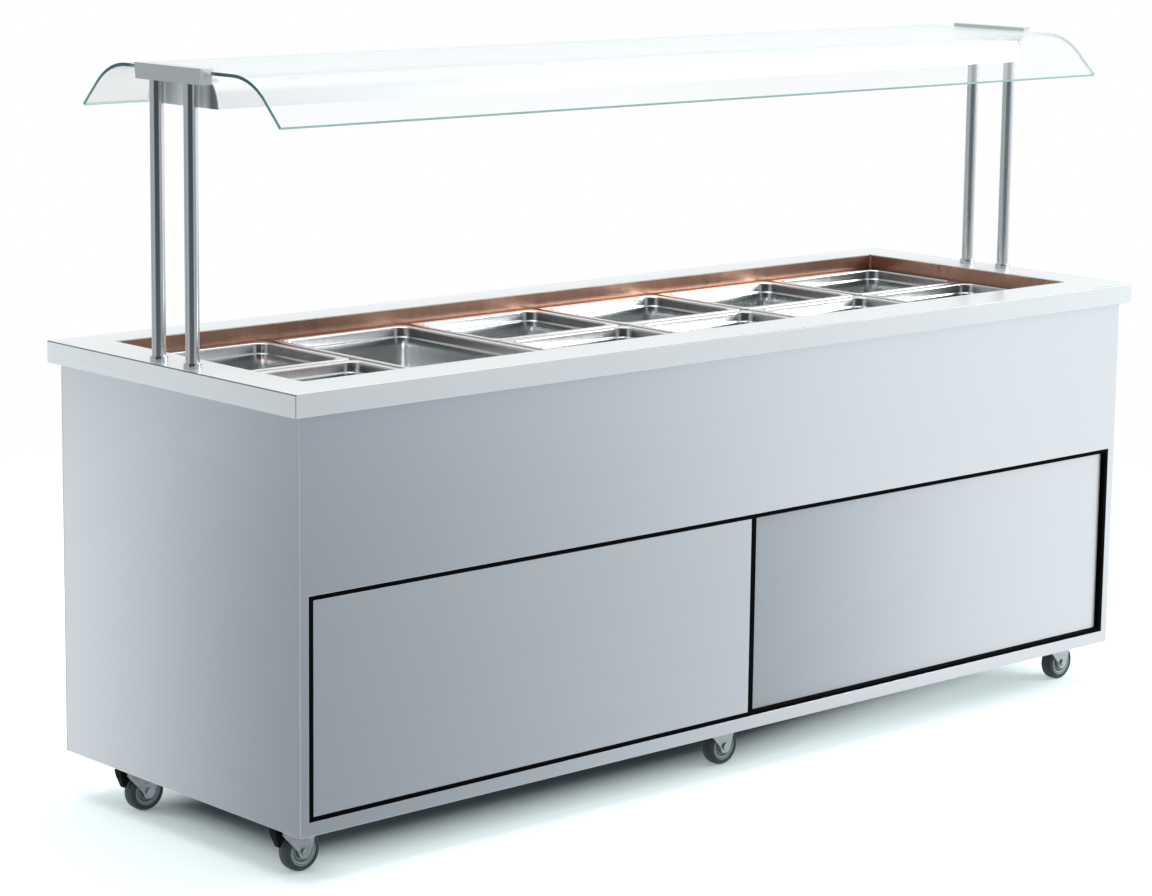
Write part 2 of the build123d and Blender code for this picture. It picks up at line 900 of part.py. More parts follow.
def glass_canopy():
    """One bent sheet of glass: flat on top, with a rounded shoulder and a straight fall."""
    turn = math.radians(glass_bend_angle)
    fall = glass_drop - glass_bend_radius * (1 - math.cos(turn))
    flat = glass_half_width - glass_bend_radius * math.sin(turn) - fall / math.tan(turn)
    centre_z = glass_top - glass_bend_radius

    def arc_point(radius, angle, side):
        y = service_offset + side * (flat + radius * math.sin(angle))
        return (y, centre_z + radius * math.cos(angle))

    def tip(inset, side):
        y = service_offset + side * (glass_half_width - inset * math.sin(turn))
        return (y, glass_top - glass_drop - inset * math.cos(turn))

    inner = glass_bend_radius - glass_thickness
    edges = []
    for radius, inset in ((glass_bend_radius, 0), (inner, glass_thickness)):
        for side in (-1, 1):
            shoulder = [arc_point(radius, turn * part, side) for part in (0, 0.5, 1)]
            edges.append(ThreePointArc(*shoulder))
            edges.append(Line(shoulder[2], tip(inset, side)))
        edges.append(Line(arc_point(radius, 0, -1), arc_point(radius, 0, 1)))
    for side in (-1, 1):
        edges.append(Line(tip(0, side), tip(glass_thickness, side)))
    end = bracket_inner_x + bracket_groove
    plane = Plane(origin=(-end, 0, 0), x_dir=(0, 1, 0), z_dir=(1, 0, 0))
    return extrude(plane * make_face(edges), amount=2 * end)


def housing_face(inset, z0, z1):
    """The housing's section: a flat top and base joined by slightly bulging sides."""
    slope = (housing_half_base - housing_half_top) / housing_height

    def half_at(z):
        return housing_half_base - slope * (z - housing_bottom) - inset

    middle = (z0 + z1) / 2
    bulge = half_at(middle) + housing_bulge
    mid = service_offset
    edges = [
        Line((mid - half_at(z0), z0), (mid + half_at(z0), z0)),
        ThreePointArc((mid + half_at(z0), z0), (mid + bulge, middle), (mid + half_at(z1), z1)),
        Line((mid + half_at(z1), z1), (mid - half_at(z1), z1)),
        ThreePointArc((mid - half_at(z1), z1), (mid - bulge, middle), (mid - half_at(z0), z0)),
    ]
    return make_face(edges)


def along_x(face, x0, x1):
    """A section drawn in Y and Z, run along the counter."""
    plane = Plane(origin=(x0, 0, 0), x_dir=(0, 1, 0), z_dir=(1, 0, 0))
    return extrude(plane * face, amount=x1 - x0)


def lamp_housing():
    """The extruded housing, open below between two lips."""
    low = housing_bottom + housing_wall
    body = along_x(housing_face(0, housing_bottom, housing_top), -housing_x, housing_x)
    inside = housing_face(housing_wall, low, housing_top - housing_wall)
    body -= along_x(inside, -housing_x, housing_x)
    slot = housing_half_base - housing_wall - housing_lip
    mid = service_offset
    body -= block(-housing_x, housing_x, mid - slot, mid + slot, housing_bottom, low)
    return body


def lamp_end_cap():
    """The plate that closes the right end of the housing."""
    face = housing_face(0, housing_bottom, housing_top)
    return along_x(face, housing_x, housing_x + housing_cap)


def lamp_diffuser():
    """The toughened glass that lies on the housing's lips."""
    half = housing_half_base - housing_wall - housing_cap
    low = housing_bottom + housing_wall
    mid = service_offset
    return block(-housing_x, housing_x, mid - half, mid + half, low, low + diffuser_thickness)


def heat_lamps():
    """A heat lamp over each column of pans, between two holders hung from the housing."""
    pieces = []
    high = housing_top - housing_wall
    z = high - lamp_holder_height + lamp_holder_foot + lamp_radius
    half = lamp_length / 2
    mid = service_offset
    front = mid - lamp_holder_depth / 2
    back = mid + lamp_holder_depth / 2
    for column in range(columns):
        x = -well_x + (column + 0.5) * column_pitch
        pieces.append(rod(lamp_radius, (x - half, mid, z), (x + half, mid, z)))
        for start in (x - half - lamp_holder, x + half):
            pieces.append(block(start, start + lamp_holder, front, back, high - lamp_holder_height, high))
    return pieces


def control_panel():
    """The plate that carries the switches, the knob and the pilot lamps."""
    half_x = control_length / 2
    half_z = control_height / 2
    face = body_y + control_sheet
    plate = block(
        control_x - half_x, control_x + half_x, body_y, face, control_z - half_z, control_z + half_z
    )
    for shift in (heat_switch_shift, lamp_switch_shift):
        x = control_x + shift
        wide = (rocker_width + rocker_play) / 2
        tall = rocker_length / 2 + rocker_play
        plate -= block(x - wide, x + wide, body_y, face, control_z - tall, control_z + tall)
        z = control_z + pilot_rise
        plate -= rod(pilot_radius + running_gap, (x, body_y, z), (x, face, z))
    x = control_x + knob_shift
    plate -= rod(knob_shaft_radius + running_gap, (x, body_y, control_z), (x, face, control_z))
    return plate


def switch_body(shift):
    """The socket behind the panel in which a rocker swings."""
    x = control_x + shift
    wide = (rocker_width + rocker_play) / 2
    tall = rocker_length / 2 + rocker_play
    back = body_y - switch_depth
    socket = block(
        x - wide - switch_wall,
        x + wide + switch_wall,
        back,
        body_y,
        control_z - tall - switch_wall,
        control_z + tall + switch_wall,
    )
    socket -= block(
        x - wide, x + wide, back + switch_wall, body_y, control_z - tall, control_z + tall
    )
    reach = wide + switch_wall
    pin_y = body_y - rocker_axis_depth
    radius = rocker_pin_radius + running_gap
    socket -= rod(radius, (x - reach, pin_y, control_z), (x + reach, pin_y, control_z))
    return socket


def control_box():
    """The box behind the panel, with both switch sockets and the thermostat."""
    half_x = control_length / 2 - control_lap
    half_z = control_height / 2 - control_lap
    back = tank_back + control_box_clearance
    wall = control_box_sheet
    box = block(
        control_x - half_x, control_x + half_x, back, inner_y, control_z - half_z, control_z + half_z
    )
    box -= block(
        control_x - half_x + wall,
        control_x + half_x - wall,
        back + wall,
        inner_y,
        control_z - half_z + wall,
        control_z + half_z - wall,
    )
    x = control_x + knob_shift
    half = thermostat_size / 2
    thermostat = block(
        x - half, x + half, body_y - thermostat_depth, body_y, control_z - half, control_z + half
    )
    bore = (x, body_y - knob_shaft_length, control_z)
    thermostat -= rod(knob_shaft_radius + running_gap, bore, (x, body_y, control_z))
    return [box, switch_body(heat_switch_shift), switch_body(lamp_switch_shift), thermostat]


def rocker(shift):
    """A rocker in its off position, with its two pins."""
    x = control_x + shift
    pin_y = body_y - rocker_axis_depth
    half = rocker_width / 2
    tall = rocker_length / 2
    body = block(-half, half, -rocker_back, rocker_front, -tall, tall)
    body = fillet(body.edges().filter_by(Axis.X), rocker_round)
    reach = half + rocker_play / 2 + switch_wall
    body += rod(rocker_pin_radius, (-reach, 0, 0), (reach, 0, 0))
    return Pos(x, pin_y, control_z) * Rot(rocker_tilt, 0, 0) * body


def thermostat_knob():
    """The round knob with its pointer ridge and shaft."""
    x = control_x + knob_shift
    back = body_y + control_sheet + knob_gap
    front = back + knob_height
    knob = rod(knob_radius, (x, back, control_z), (x, front, control_z))
    knob = fillet(knob.edges().group_by(Axis.Y)[-1], knob_round)
    half = knob_ridge_width / 2
    high = control_z + knob_radius - knob_ridge_inset
    knob += block(x - half, x + half, back, front + knob_ridge_rise, control_z, high)
    end = body_y - knob_shaft_length + knob_gap
    knob += rod(knob_shaft_radius, (x, end, control_z), (x, back, control_z))
    return knob


def pilot_lamps():
    """A small lens above each rocker."""
    pieces = []
    for shift in (heat_switch_shift, lamp_switch_shift):
        x = control_x + shift
        z = control_z + pilot_rise
        front = body_y + control_sheet + pilot_front
        lens = rod(pilot_radius, (x, body_y, z), (x, front, z))
        pieces.append(fillet(lens.edges().group_by(Axis.Y)[-1], pilot_round))
    return pieces


def cable_gland():
    """The gland for the mains cable, with its nut inside the back panel."""
    x = gland_x
    z = gland_height
    back = inner_y - gland_back
    front = body_y + gland_front
    body = rod(gland_thread, (x, back, z), (x, front, z))
    body += rod(gland_head, (x, body_y, z), (x, front, z))
    body = fillet(body.edges().group_by(Axis.Y)[-1], gland_round)
    body -= rod(gland_bore, (x, back, z), (x, front, z))
    hexagon = Plane(origin=(x, inner_y, z), z_dir=(0, -1, 0)) * RegularPolygon(gland_nut, 6)
    nut = extrude(hexagon, amount=gland_nut_height)
    nut -= rod(gland_thread, (x, back, z), (x, inner_y, z))
    return [body, nut]


def drain_line():
    """The pipe from the well's floor, the valve and the pipe down through the cabinet."""
    x = drain_x
    y = drain_place_y
    upper = rod(drain_radius, (x, y, valve_top), (x, y, tank_bottom + tank_sheet))
    upper -= rod(drain_bore, (x, y, valve_top), (x, y, tank_bottom + tank_sheet))
    low = caster_height - drain_outlet_drop
    lower = rod(drain_radius, (x, y, low), (x, y, valve_bottom))
    lower -= rod(drain_bore, (x, y, low), (x, y, valve_bottom))
    valve = rod(drain_valve_radius, (x, y, valve_bottom), (x, y, valve_top))
    valve += rod(drain_boss_radius, (x, y, valve_middle), (x, stem_y, valve_middle))
    valve += rod(drain_stem_radius, (x, y, valve_middle), (x, stem_y - drain_stem, valve_middle))
    return [upper, valve, lower]


def drain_lever():
    """The lever on the valve's stem, lying across the pipe when the valve is shut."""
    x = drain_x
    y1 = stem_y - swivel_gap
    y0 = y1 - drain_stem + lever_stem_end
    lever = rod(lever_hub, (x, y0, valve_middle), (x, y1, valve_middle))
    half = lever_width / 2
    lever += block(x - lever_length, x, y0, y0 + lever_sheet, valve_middle - half, valve_middle + half)
    lever -= rod(drain_stem_radius + running_gap, (x, y0, valve_middle), (x, y1, valve_middle))
    return lever


def build_nodes():
    """Every named piece of the counter."""
    nodes = {
        "top_frame": top_frame(),
        "well_tank": well_tank(),
        "pan_bars": pan_bars(),
        "heating_elements": heating_elements(),
        "insulation": insulation(),
        "end_panel_left": mirrored(end_panel()),
        "end_panel_right": end_panel(),
        "front_frame": front_frame(),
        "back_panel": back_panel(),
        "door_surround": door_surround(),
        "door_left": door_leaf(0),
        "door_left_trim": door_trim(0),
        "door_right": door_leaf(1),
        "door_right_trim": door_trim(1),
        "cabinet_floor": cabinet_floor(),
        "cabinet_liner": cabinet_liner(),
        "caster_plates": caster_plates(),
        "post_bases": post_bases(),
        "posts": posts(),
        "canopy_brackets": [canopy_bracket(), mirrored(canopy_bracket())],
        "glass_supports": glass_supports(),
        "glass_canopy": glass_canopy(),
        "lamp_housing": lamp_housing(),
        "lamp_end_caps": [lamp_end_cap(), mirrored(lamp_end_cap())],
        "lamp_diffuser": lamp_diffuser(),
        "heat_lamps": heat_lamps(),
        "control_panel": control_panel(),
        "control_box": control_box(),
        "heat_switch": rocker(heat_switch_shift),
        "lamp_switch": rocker(lamp_switch_shift),
        "thermostat_knob": thermostat_knob(),
        "pilot_lamps": pilot_lamps(),
        "cable_gland": cable_gland(),
        "drain_line": drain_line(),
        "drain_lever": drain_lever(),
    }
    nodes.update(pans())
    for number, (x, y) in enumerate(caster_places, start=1):
        braked = x == caster_x[0]
        nodes[f"fork_{number}"] = fork(x, y, braked)
        nodes[f"wheel_{number}"] = wheel(x, y)
        if braked:
            nodes[f"brake_pedal_{number}"] = brake_pedal(x, y)
    return nodes


os.makedirs("parts", exist_ok=True)
for node, shape in build_nodes().items():
    if isinstance(shape, list):
        shape = Compound(children=shape)
    export_step(shape, f"parts/{node}.step")
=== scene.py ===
import math

import bmesh
import bpy
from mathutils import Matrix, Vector


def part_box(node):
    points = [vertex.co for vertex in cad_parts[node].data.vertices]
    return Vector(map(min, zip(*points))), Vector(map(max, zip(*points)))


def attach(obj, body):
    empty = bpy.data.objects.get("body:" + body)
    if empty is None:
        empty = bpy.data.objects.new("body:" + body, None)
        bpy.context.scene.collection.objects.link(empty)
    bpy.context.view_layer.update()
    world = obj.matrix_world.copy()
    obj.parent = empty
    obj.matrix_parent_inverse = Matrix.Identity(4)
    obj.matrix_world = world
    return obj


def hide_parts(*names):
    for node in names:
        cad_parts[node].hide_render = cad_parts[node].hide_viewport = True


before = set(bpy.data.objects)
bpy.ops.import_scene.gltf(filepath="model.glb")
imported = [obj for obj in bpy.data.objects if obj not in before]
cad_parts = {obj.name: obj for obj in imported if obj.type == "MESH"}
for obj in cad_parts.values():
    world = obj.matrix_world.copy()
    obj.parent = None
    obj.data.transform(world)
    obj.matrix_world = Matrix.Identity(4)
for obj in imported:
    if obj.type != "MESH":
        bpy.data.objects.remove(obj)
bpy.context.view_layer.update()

scene = bpy.context.scene

# The studio
# A pale floor that fades into a white background, with soft lamps overhead, at the right
# and at the left back. The room behind the camera is dark, and what metal mirrors of the
# room turns from dark to white with the direction, as it does between studio flats.


def linear(code):
    """An sRGB hex colour as the linear RGBA that a shader takes."""
    parts = [int(code[i:i + 2], 16) / 255 for i in (1, 3, 5)]
    return [p / 12.92 if p <= 0.04045 else ((p + 0.055) / 1.055) ** 2.4 for p in parts] + [1.0]


def add_node(tree, kind, inputs=None, stops=(), **settings):
    """Adds a node with its settings; an input is a value or the output it is linked to."""
    made = tree.nodes.new(kind)
    for name, value in settings.items():
        setattr(made, name, value)
    for i, (where, code) in enumerate(stops):
        if i >= len(made.color_ramp.elements):
            made.color_ramp.elements.new(1.0)
        made.color_ramp.elements[i].position = where
        made.color_ramp.elements[i].color = linear(code)
    for socket, value in (inputs or {}).items():
        if isinstance(value, bpy.types.NodeSocket):
            tree.links.new(value, made.inputs[socket])
        else:
            made.inputs[socket].default_value = value
    return made


white = linear("#FFFFFF")
room_fill = linear("#C3C7CB")

# What metal and glass mirror of the room, all the way round: first what stands low, along
# the floor, and then the wall above it. 0.5 is the side that the photo was taken from.
PHOTO_WAY = (-0.672, -0.740, 0.0)
PHOTO_SIDE = (0.740, -0.672, 0.0)
low_flats = [
    (0.0, "#D9DDE0"), (0.090, "#C4CACE"), (0.160, "#F0F2F4"), (0.180, "#FFFFFF"), (0.204, "#FFFFFF"),
    (0.214, "#8C929A"), (0.224, "#4E545D"), (0.256, "#4E545D"), (0.272, "#D2D6DA"), (0.384, "#CED2D6"),
    (0.402, "#7C8286"), (0.598, "#7C8286"), (0.618, "#D8DCE2"), (0.672, "#D2D6DC"), (0.690, "#3C424C"),
    (0.718, "#4C535D"), (0.738, "#A0A6AF"), (0.757, "#FFFFFF"), (0.830, "#FFFFFF"), (0.900, "#DDE1E4"),
    (1.0, "#D9DDE0"),
]
upper_wall = [
    (0.0, "#FFFFFF"), (0.07, "#FFFFFF"), (0.11, "#B9BEC0"), (0.26, "#B4BABC"), (0.386, "#B0B6B8"),
    (0.400, "#363C40"), (0.600, "#363C40"), (0.614, "#BBBFC9"), (0.70, "#A8ACB6"), (0.735, "#C0C6CD"),
    (0.760, "#FFFFFF"), (1.0, "#FFFFFF"),
]

world = bpy.data.worlds.new("studio_room")
world.use_nodes = True
scene.world = world
room = world.node_tree
room.nodes.clear()
path = add_node(room, "ShaderNodeLightPath")
sky = add_node(room, "ShaderNodeTexCoord")
along = add_node(
    room, "ShaderNodeVectorMath", {0: sky.outputs["Generated"], 1: PHOTO_WAY},
    operation="DOT_PRODUCT",
)
across = add_node(
    room, "ShaderNodeVectorMath", {0: sky.outputs["Generated"], 1: PHOTO_SIDE},
    operation="DOT_PRODUCT",
)
turned = add_node(
    room, "ShaderNodeMath", {0: across.outputs["Value"], 1: along.outputs["Value"]}, operation="ARCTAN2"
)
part_round = add_node(
    room, "ShaderNodeMapRange",
    {"Value": turned.outputs[0], "From Min": -math.pi, "From Max": math.pi},
)
near_floor = add_node(
    room, "ShaderNodeValToRGB", {"Fac": part_round.outputs["Result"]}, stops=low_flats
)
above = add_node(room, "ShaderNodeValToRGB", {"Fac": part_round.outputs["Result"]}, stops=upper_wall)
rise = add_node(room, "ShaderNodeSeparateXYZ", {0: sky.outputs["Generated"]})
over_flats = add_node(
    room, "ShaderNodeMapRange", {"Value": rise.outputs[2], "From Min": -0.182, "From Max": -0.148},
    interpolation_type="SMOOTHSTEP",
)
mirrored_room = add_node(
    room, "ShaderNodeMix",
    {0: over_flats.outputs["Result"], 6: near_floor.outputs["Color"], 7: above.outputs["Color"]},
    data_type="RGBA",
)
# Only mirrored and see-through rays meet those colours. Diffuse light gets an even grey,
# and the eye a white background.
sharp = add_node(
    room, "ShaderNodeMath",
    {0: path.outputs["Is Glossy Ray"], 1: path.outputs["Is Transmission Ray"]}, operation="MAXIMUM",
)
lit = add_node(
    room, "ShaderNodeMix", {0: sharp.outputs[0], 6: room_fill, 7: mirrored_room.outputs[2]},
    data_type="RGBA",
)
seen = add_node(
    room, "ShaderNodeMix", {0: path.outputs["Is Camera Ray"], 6: lit.outputs[2], 7: white},
    data_type="RGBA",
)
glow = add_node(room, "ShaderNodeBackground", {"Color": seen.outputs[2], "Strength": 1.0})
add_node(room, "ShaderNodeOutputWorld", {"Surface": glow.outputs[0]})

FLOOR = 14.0
floor_corners = [(-FLOOR, -FLOOR, 0), (FLOOR, -FLOOR, 0), (FLOOR, FLOOR, 0), (-FLOOR, FLOOR, 0)]
floor_mesh = bpy.data.meshes.new("studio_floor")
floor_mesh.from_pydata(floor_corners, [], [(0, 1, 2, 3)])
studio_floor = bpy.data.objects.new("studio_floor", floor_mesh)
scene.collection.objects.link(studio_floor)

# Matt white floor paint: it fades into the background between 1.6 and 3.4 m out. Metal
# doesn't mirror it, because the room's low colours stand for it there.
floor_paint = bpy.data.materials.new("matt_white_floor")
floor_paint.use_nodes = True
tree = floor_paint.node_tree
tree.nodes.clear()
place = add_node(tree, "ShaderNodeTexCoord")
distance = add_node(
    tree, "ShaderNodeVectorMath", {0: place.outputs["Object"]}, operation="LENGTH"
)
fade = add_node(
    tree, "ShaderNodeMapRange",
    {"Value": distance.outputs["Value"], "From Min": 1.6, "From Max": 3.4},
    interpolation_type="SMOOTHSTEP",
)
floor_path = add_node(tree, "ShaderNodeLightPath")
gone = add_node(
    tree, "ShaderNodeMath", {0: fade.outputs["Result"], 1: floor_path.outputs["Is Glossy Ray"]},
    operation="MAXIMUM",
)

# Under the counter a painted shadow darkens the floor, further in on the right. In the open
# a painted glow lifts it towards white for the eye, and a little less so at the far left.
SHADED_HALF = (1.12, 0.355)
flat_spot = add_node(tree, "ShaderNodeSeparateXYZ", {0: place.outputs["Object"]})
from_middle = [
    add_node(tree, "ShaderNodeMath", {0: flat_spot.outputs[i]}, operation="ABSOLUTE") for i in (0, 1)
]
under = [
    add_node(tree, "ShaderNodeMath", {0: half, 1: far.outputs[0]}, operation="SUBTRACT")
    for half, far in zip(SHADED_HALF, from_middle)
]
nearest_edge = add_node(
    tree, "ShaderNodeMath", {0: under[0].outputs[0], 1: under[1].outputs[0]}, operation="MINIMUM"
)
right_lift = add_node(
    tree, "ShaderNodeMapRange",
    {"Value": flat_spot.outputs[0], "From Min": 0.05, "From Max": 1.05, "To Min": 0.0, "To Max": 0.15},
)
depth_under = add_node(
    tree, "ShaderNodeMath", {0: nearest_edge.outputs[0], 1: right_lift.outputs["Result"]},
    operation="SUBTRACT",
)
# Painted bounce light: a glow near and outside the counter's edge, fading out 180 mm under it.
bounce = add_node(
    tree, "ShaderNodeMapRange",
    {"Value": depth_under.outputs[0], "From Min": 0.050, "From Max": 0.18, "To Min": 0.43, "To Max": 0.0},
)
shade = add_node(
    tree, "ShaderNodeMapRange",
    {"Value": depth_under.outputs[0], "From Min": 0.11, "From Max": 0.20, "To Min": 0.0, "To Max": 0.85},
)
shaded_floor_tone = add_node(
    tree, "ShaderNodeMix",
    {0: shade.outputs["Result"], 6: linear("#F3F8F7"), 7: linear("#465658")}, data_type="RGBA",
)
matt = add_node(tree, "ShaderNodeBsdfDiffuse", {"Color": shaded_floor_tone.outputs[2]})
along_floor = add_node(
    tree, "ShaderNodeMapRange", {"Value": flat_spot.outputs[0], "From Min": -1.1, "From Max": 1.1}
)
share = add_node(
    tree, "ShaderNodeValToRGB", {"Fac": along_floor.outputs["Result"]},
    stops=[(0.0, "#D6D6D6"), (0.03, "#DCDCDC"), (0.065, "#FFFFFF"), (1.0, "#FFFFFF")],
)
bounce_here = add_node(
    tree, "ShaderNodeMath", {0: bounce.outputs["Result"], 1: share.outputs["Color"]}, operation="MULTIPLY"
)
seen_bounce = add_node(
    tree, "ShaderNodeMath",
    {0: bounce_here.outputs[0], 1: floor_path.outputs["Is Camera Ray"]}, operation="MULTIPLY",
)
painted_glow = add_node(
    tree, "ShaderNodeEmission", {"Color": linear("#E6F8F5"), "Strength": seen_bounce.outputs[0]}
)
lit_floor = add_node(tree, "ShaderNodeAddShader", {0: matt.outputs[0], 1: painted_glow.outputs[0]})
clear = add_node(tree, "ShaderNodeBsdfTransparent")
paint = add_node(
    tree, "ShaderNodeMixShader", {0: gone.outputs[0], 1: lit_floor.outputs[0], 2: clear.outputs[0]}
)
add_node(tree, "ShaderNodeOutputMaterial", {"Surface": paint.outputs[0]})
floor_mesh.materials.append(floor_paint)


def soft_lamp(name, place, aim, size, power, colour):
    """A rectangular softbox that faces a point."""
    data = bpy.data.lights.new(name, "AREA")
    data.shape = "RECTANGLE"
    data.size = size[0]
    data.size_y = size[1]
    data.energy = power
    data.color = linear(colour)[:3]
    lamp = bpy.data.objects.new(name, data)
    lamp.location = place
    lamp.rotation_mode = "QUATERNION"
    lamp.rotation_quaternion = (Vector(aim) - Vector(place)).to_track_quat("-Z", "Y")
    lamp.visible_camera = False
    scene.collection.objects.link(lamp)
    return lamp


soft_lamp("lamp_above", (0.0, 0.0, 4.2), (0.0, 0.0, 0.6), (5.5, 4.0), 134, "#FFFFFF")
soft_lamp("lamp_right", (3.1, -2.2, 2.0), (1.0, -0.3, 0.4), (1.6, 1.6), 70, "#F6FCFF")
# The left lamp only fills the shaded end, so metal doesn't mirror it.
left_lamp = soft_lamp("lamp_left", (-2.1, 1.5, 0.55), (-1.1, 0.35, 0.45), (0.7, 0.7), 13, "#F6FCFF")
left_lamp.visible_glossy = False

# The camera stands where the photo was taken from, at the left of the counter's front.
camera_data = bpy.data.cameras.new("camera")
camera_data.sensor_width = 36.0
camera_data.lens = 102.881
camera_data.shift_x = 0.00035
camera_data.shift_y = -0.05068
camera_data.clip_start = 0.1
camera_data.clip_end = 60.0
camera = bpy.data.objects.new("camera", camera_data)
camera.location = (-4.36859, -4.63878, 1.79844)
camera.rotation_euler = [math.radians(a) for a in (80.22267, -0.68780, -42.25426)]
scene.collection.objects.link(camera)
scene.camera = camera
scene.view_settings.view_transform = "Standard"

# Worktop rim
# One stainless sheet folded down on all four sides, welded at the corners and brushed
# to a satin, so the grain turns at each corner. The tight bends have painted shade as darker lines.
MM = 0.001
rim_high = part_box("top_frame")[1]


def start_finish(name):
    """A new material with a principled shader, and its object coordinates."""
    material = bpy.data.materials.new(name)
    material.use_nodes = True
    tree = material.node_tree
    tree.nodes.clear()
    shader = add_node(tree, "ShaderNodeBsdfPrincipled")
    add_node(tree, "ShaderNodeOutputMaterial", {"Surface": shader.outputs[0]})
    place = add_node(tree, "ShaderNodeTexCoord").outputs["Object"]
    return material, tree, shader, place


def streaks(tree, place, spacing, finer=2.0):
    """Noise drawn out along the brush lines; spacing is its size in mm along X, Y and Z."""
    per_metre = [1 / (size * MM) for size in spacing]
    drawn = add_node(tree, "ShaderNodeVectorMath", {0: place, 1: per_metre}, operation="MULTIPLY")
    return add_node(
        tree, "ShaderNodeTexNoise",
        {"Vector": drawn.outputs[0], "Scale": 1.0, "Detail": finer, "Roughness": 0.6},
    ).outputs["Fac"]


def finish_steel(tree, shader, place, lines, dark, light, roughness, spread, bump):
    """Brushed steel: its tone and gloss shift a little with the lines and with broad clouds."""
    clouds = add_node(
        tree, "ShaderNodeTexNoise", {"Vector": place, "Scale": 1 / (385 * MM), "Detail": 3.0}
    ).outputs["Fac"]
    blend = add_node(
        tree, "ShaderNodeMix", {0: 0.45, 2: lines, 3: clouds}, data_type="FLOAT"
    ).outputs[0]
    tone = add_node(
        tree, "ShaderNodeMix", {0: blend, 6: linear(dark), 7: linear(light)}, data_type="RGBA"
    )
    gloss = add_node(
        tree, "ShaderNodeMapRange",
        {"Value": blend, "To Min": roughness - spread, "To Max": roughness + spread},
    )
    relief = add_node(
        tree, "ShaderNodeBump", {"Height": lines, "Strength": bump, "Distance": 0.2 * MM}
    )
    shader.inputs["Metallic"].default_value = 1.0
    tree.links.new(tone.outputs[2], shader.inputs["Base Color"])
    tree.links.new(gloss.outputs["Result"], shader.inputs["Roughness"])
    tree.links.new(relief.outputs[0], shader.inputs["Normal"])
    return tone.outputs[2]


def lined_metal(name, dark, light, spacing, roughness=0.36, spread=0.04, bump=0.12):
    """Metal with all its lines one way, or patches where spacing is the same all ways."""
    material, tree, shader, place = start_finish(name)
    lines = streaks(tree, place, spacing)
    finish_steel(tree, shader, place, lines, dark, light, roughness, spread, bump)
    return material


def dress(node, material, edge=0.0):
    """Gives a carried-over CAD node its finish and, where edge is set, broken edges."""
    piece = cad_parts[node]
    for material_slot in piece.material_slots:
        material_slot.material = material
    if not piece.material_slots:
        piece.data.materials.append(material)
    if edge:
        weld = piece.modifiers.new("joined", "WELD")
        weld.merge_threshold = 0.00001
        bevel = piece.modifiers.new("broken_edge", "BEVEL")
        bevel.width = edge
        bevel.segments = 2
        bevel.limit_method = "ANGLE"
        bevel.angle_limit = math.radians(35)
    return piece


# Satin stainless: a soft, pale sheen with faint lines along each side. Real brush lines are
# under 0.2 mm apart, and are drawn 4 mm apart and 170 mm long so that they show.
rim_steel, tree, shader, place = start_finish("satin_stainless_rim")
along_x = streaks(tree, place, (167, 3.85, 3.85))
along_y = streaks(tree, place, (3.85, 167, 3.85))
surface = add_node(tree, "ShaderNodeNewGeometry")
facing_out = add_node(
    tree, "ShaderNodeVectorMath", {0: surface.outputs["Normal"]}, operation="ABSOLUTE"
)
out = add_node(tree, "ShaderNodeSeparateXYZ", {0: facing_out.outputs[0]})
spot = add_node(tree, "ShaderNodeSeparateXYZ", {0: place})
far_x = add_node(tree, "ShaderNodeMath", {0: spot.outputs[0]}, operation="ABSOLUTE")
far_y = add_node(tree, "ShaderNodeMath", {0: spot.outputs[1]}, operation="ABSOLUTE")
past_corner = add_node(
    tree, "ShaderNodeMath", {0: far_x.outputs[0], 1: far_y.outputs[0]}, operation="SUBTRACT"
)
on_end = add_node(
    tree, "ShaderNodeMath", {0: past_corner.outputs[0], 1: rim_high.x - rim_high.y},
    operation="GREATER_THAN",
)
lines = add_node(
    tree, "ShaderNodeMix", {0: on_end.outputs[0], 2: along_x, 3: along_y}, data_type="FLOAT"
).outputs[0]
tone = finish_steel(tree, shader, place, lines, "#D9DDDD", "#E6E9E9", 0.30, 0.03, 0.02)
# Painted shade darkens the steel along its bends, and most on the top edge of each end.
side_or_top = add_node(
    tree, "ShaderNodeMath", {0: out.outputs[0], 1: out.outputs[1]}, operation="MAXIMUM"
)
flatness = add_node(
    tree, "ShaderNodeMath", {0: side_or_top.outputs[0], 1: out.outputs[2]}, operation="MAXIMUM"
)
painted_bend_shade = add_node(
    tree, "ShaderNodeMapRange",
    {"Value": flatness.outputs[0], "From Min": 0.90, "From Max": 0.995, "To Min": 0.75, "To Max": 0.0},
)
bend_shaded = add_node(
    tree, "ShaderNodeMix", {0: painted_bend_shade.outputs["Result"], 6: tone, 7: linear("#6F787C")},
    data_type="RGBA",
)
near_end = add_node(
    tree, "ShaderNodeMath", {0: far_x.outputs[0], 1: rim_high.x - 2.5 * MM}, operation="GREATER_THAN"
)
near_top = add_node(
    tree, "ShaderNodeMath", {0: spot.outputs[2], 1: rim_high.z - 1.8 * MM}, operation="GREATER_THAN"
)
painted_end_edge_shade = add_node(
    tree, "ShaderNodeMath", {0: near_end.outputs[0], 1: near_top.outputs[0]}, operation="MULTIPLY"
)
end_edge_shaded = add_node(
    tree, "ShaderNodeMix", {0: painted_end_edge_shade.outputs[0], 6: bend_shaded.outputs[2], 7: linear("#6A7173")},
    data_type="RGBA",
)
tree.links.new(end_edge_shaded.outputs[2], shader.inputs["Base Color"])
# The top mirrors a little more than the skirt.
less_mirror = add_node(
    tree, "ShaderNodeMapRange", {"Value": out.outputs[2], "To Min": 0.28, "To Max": 0.5}
)
tree.links.new(less_mirror.outputs["Result"], shader.inputs["Metallic"])
dress("top_frame", rim_steel)
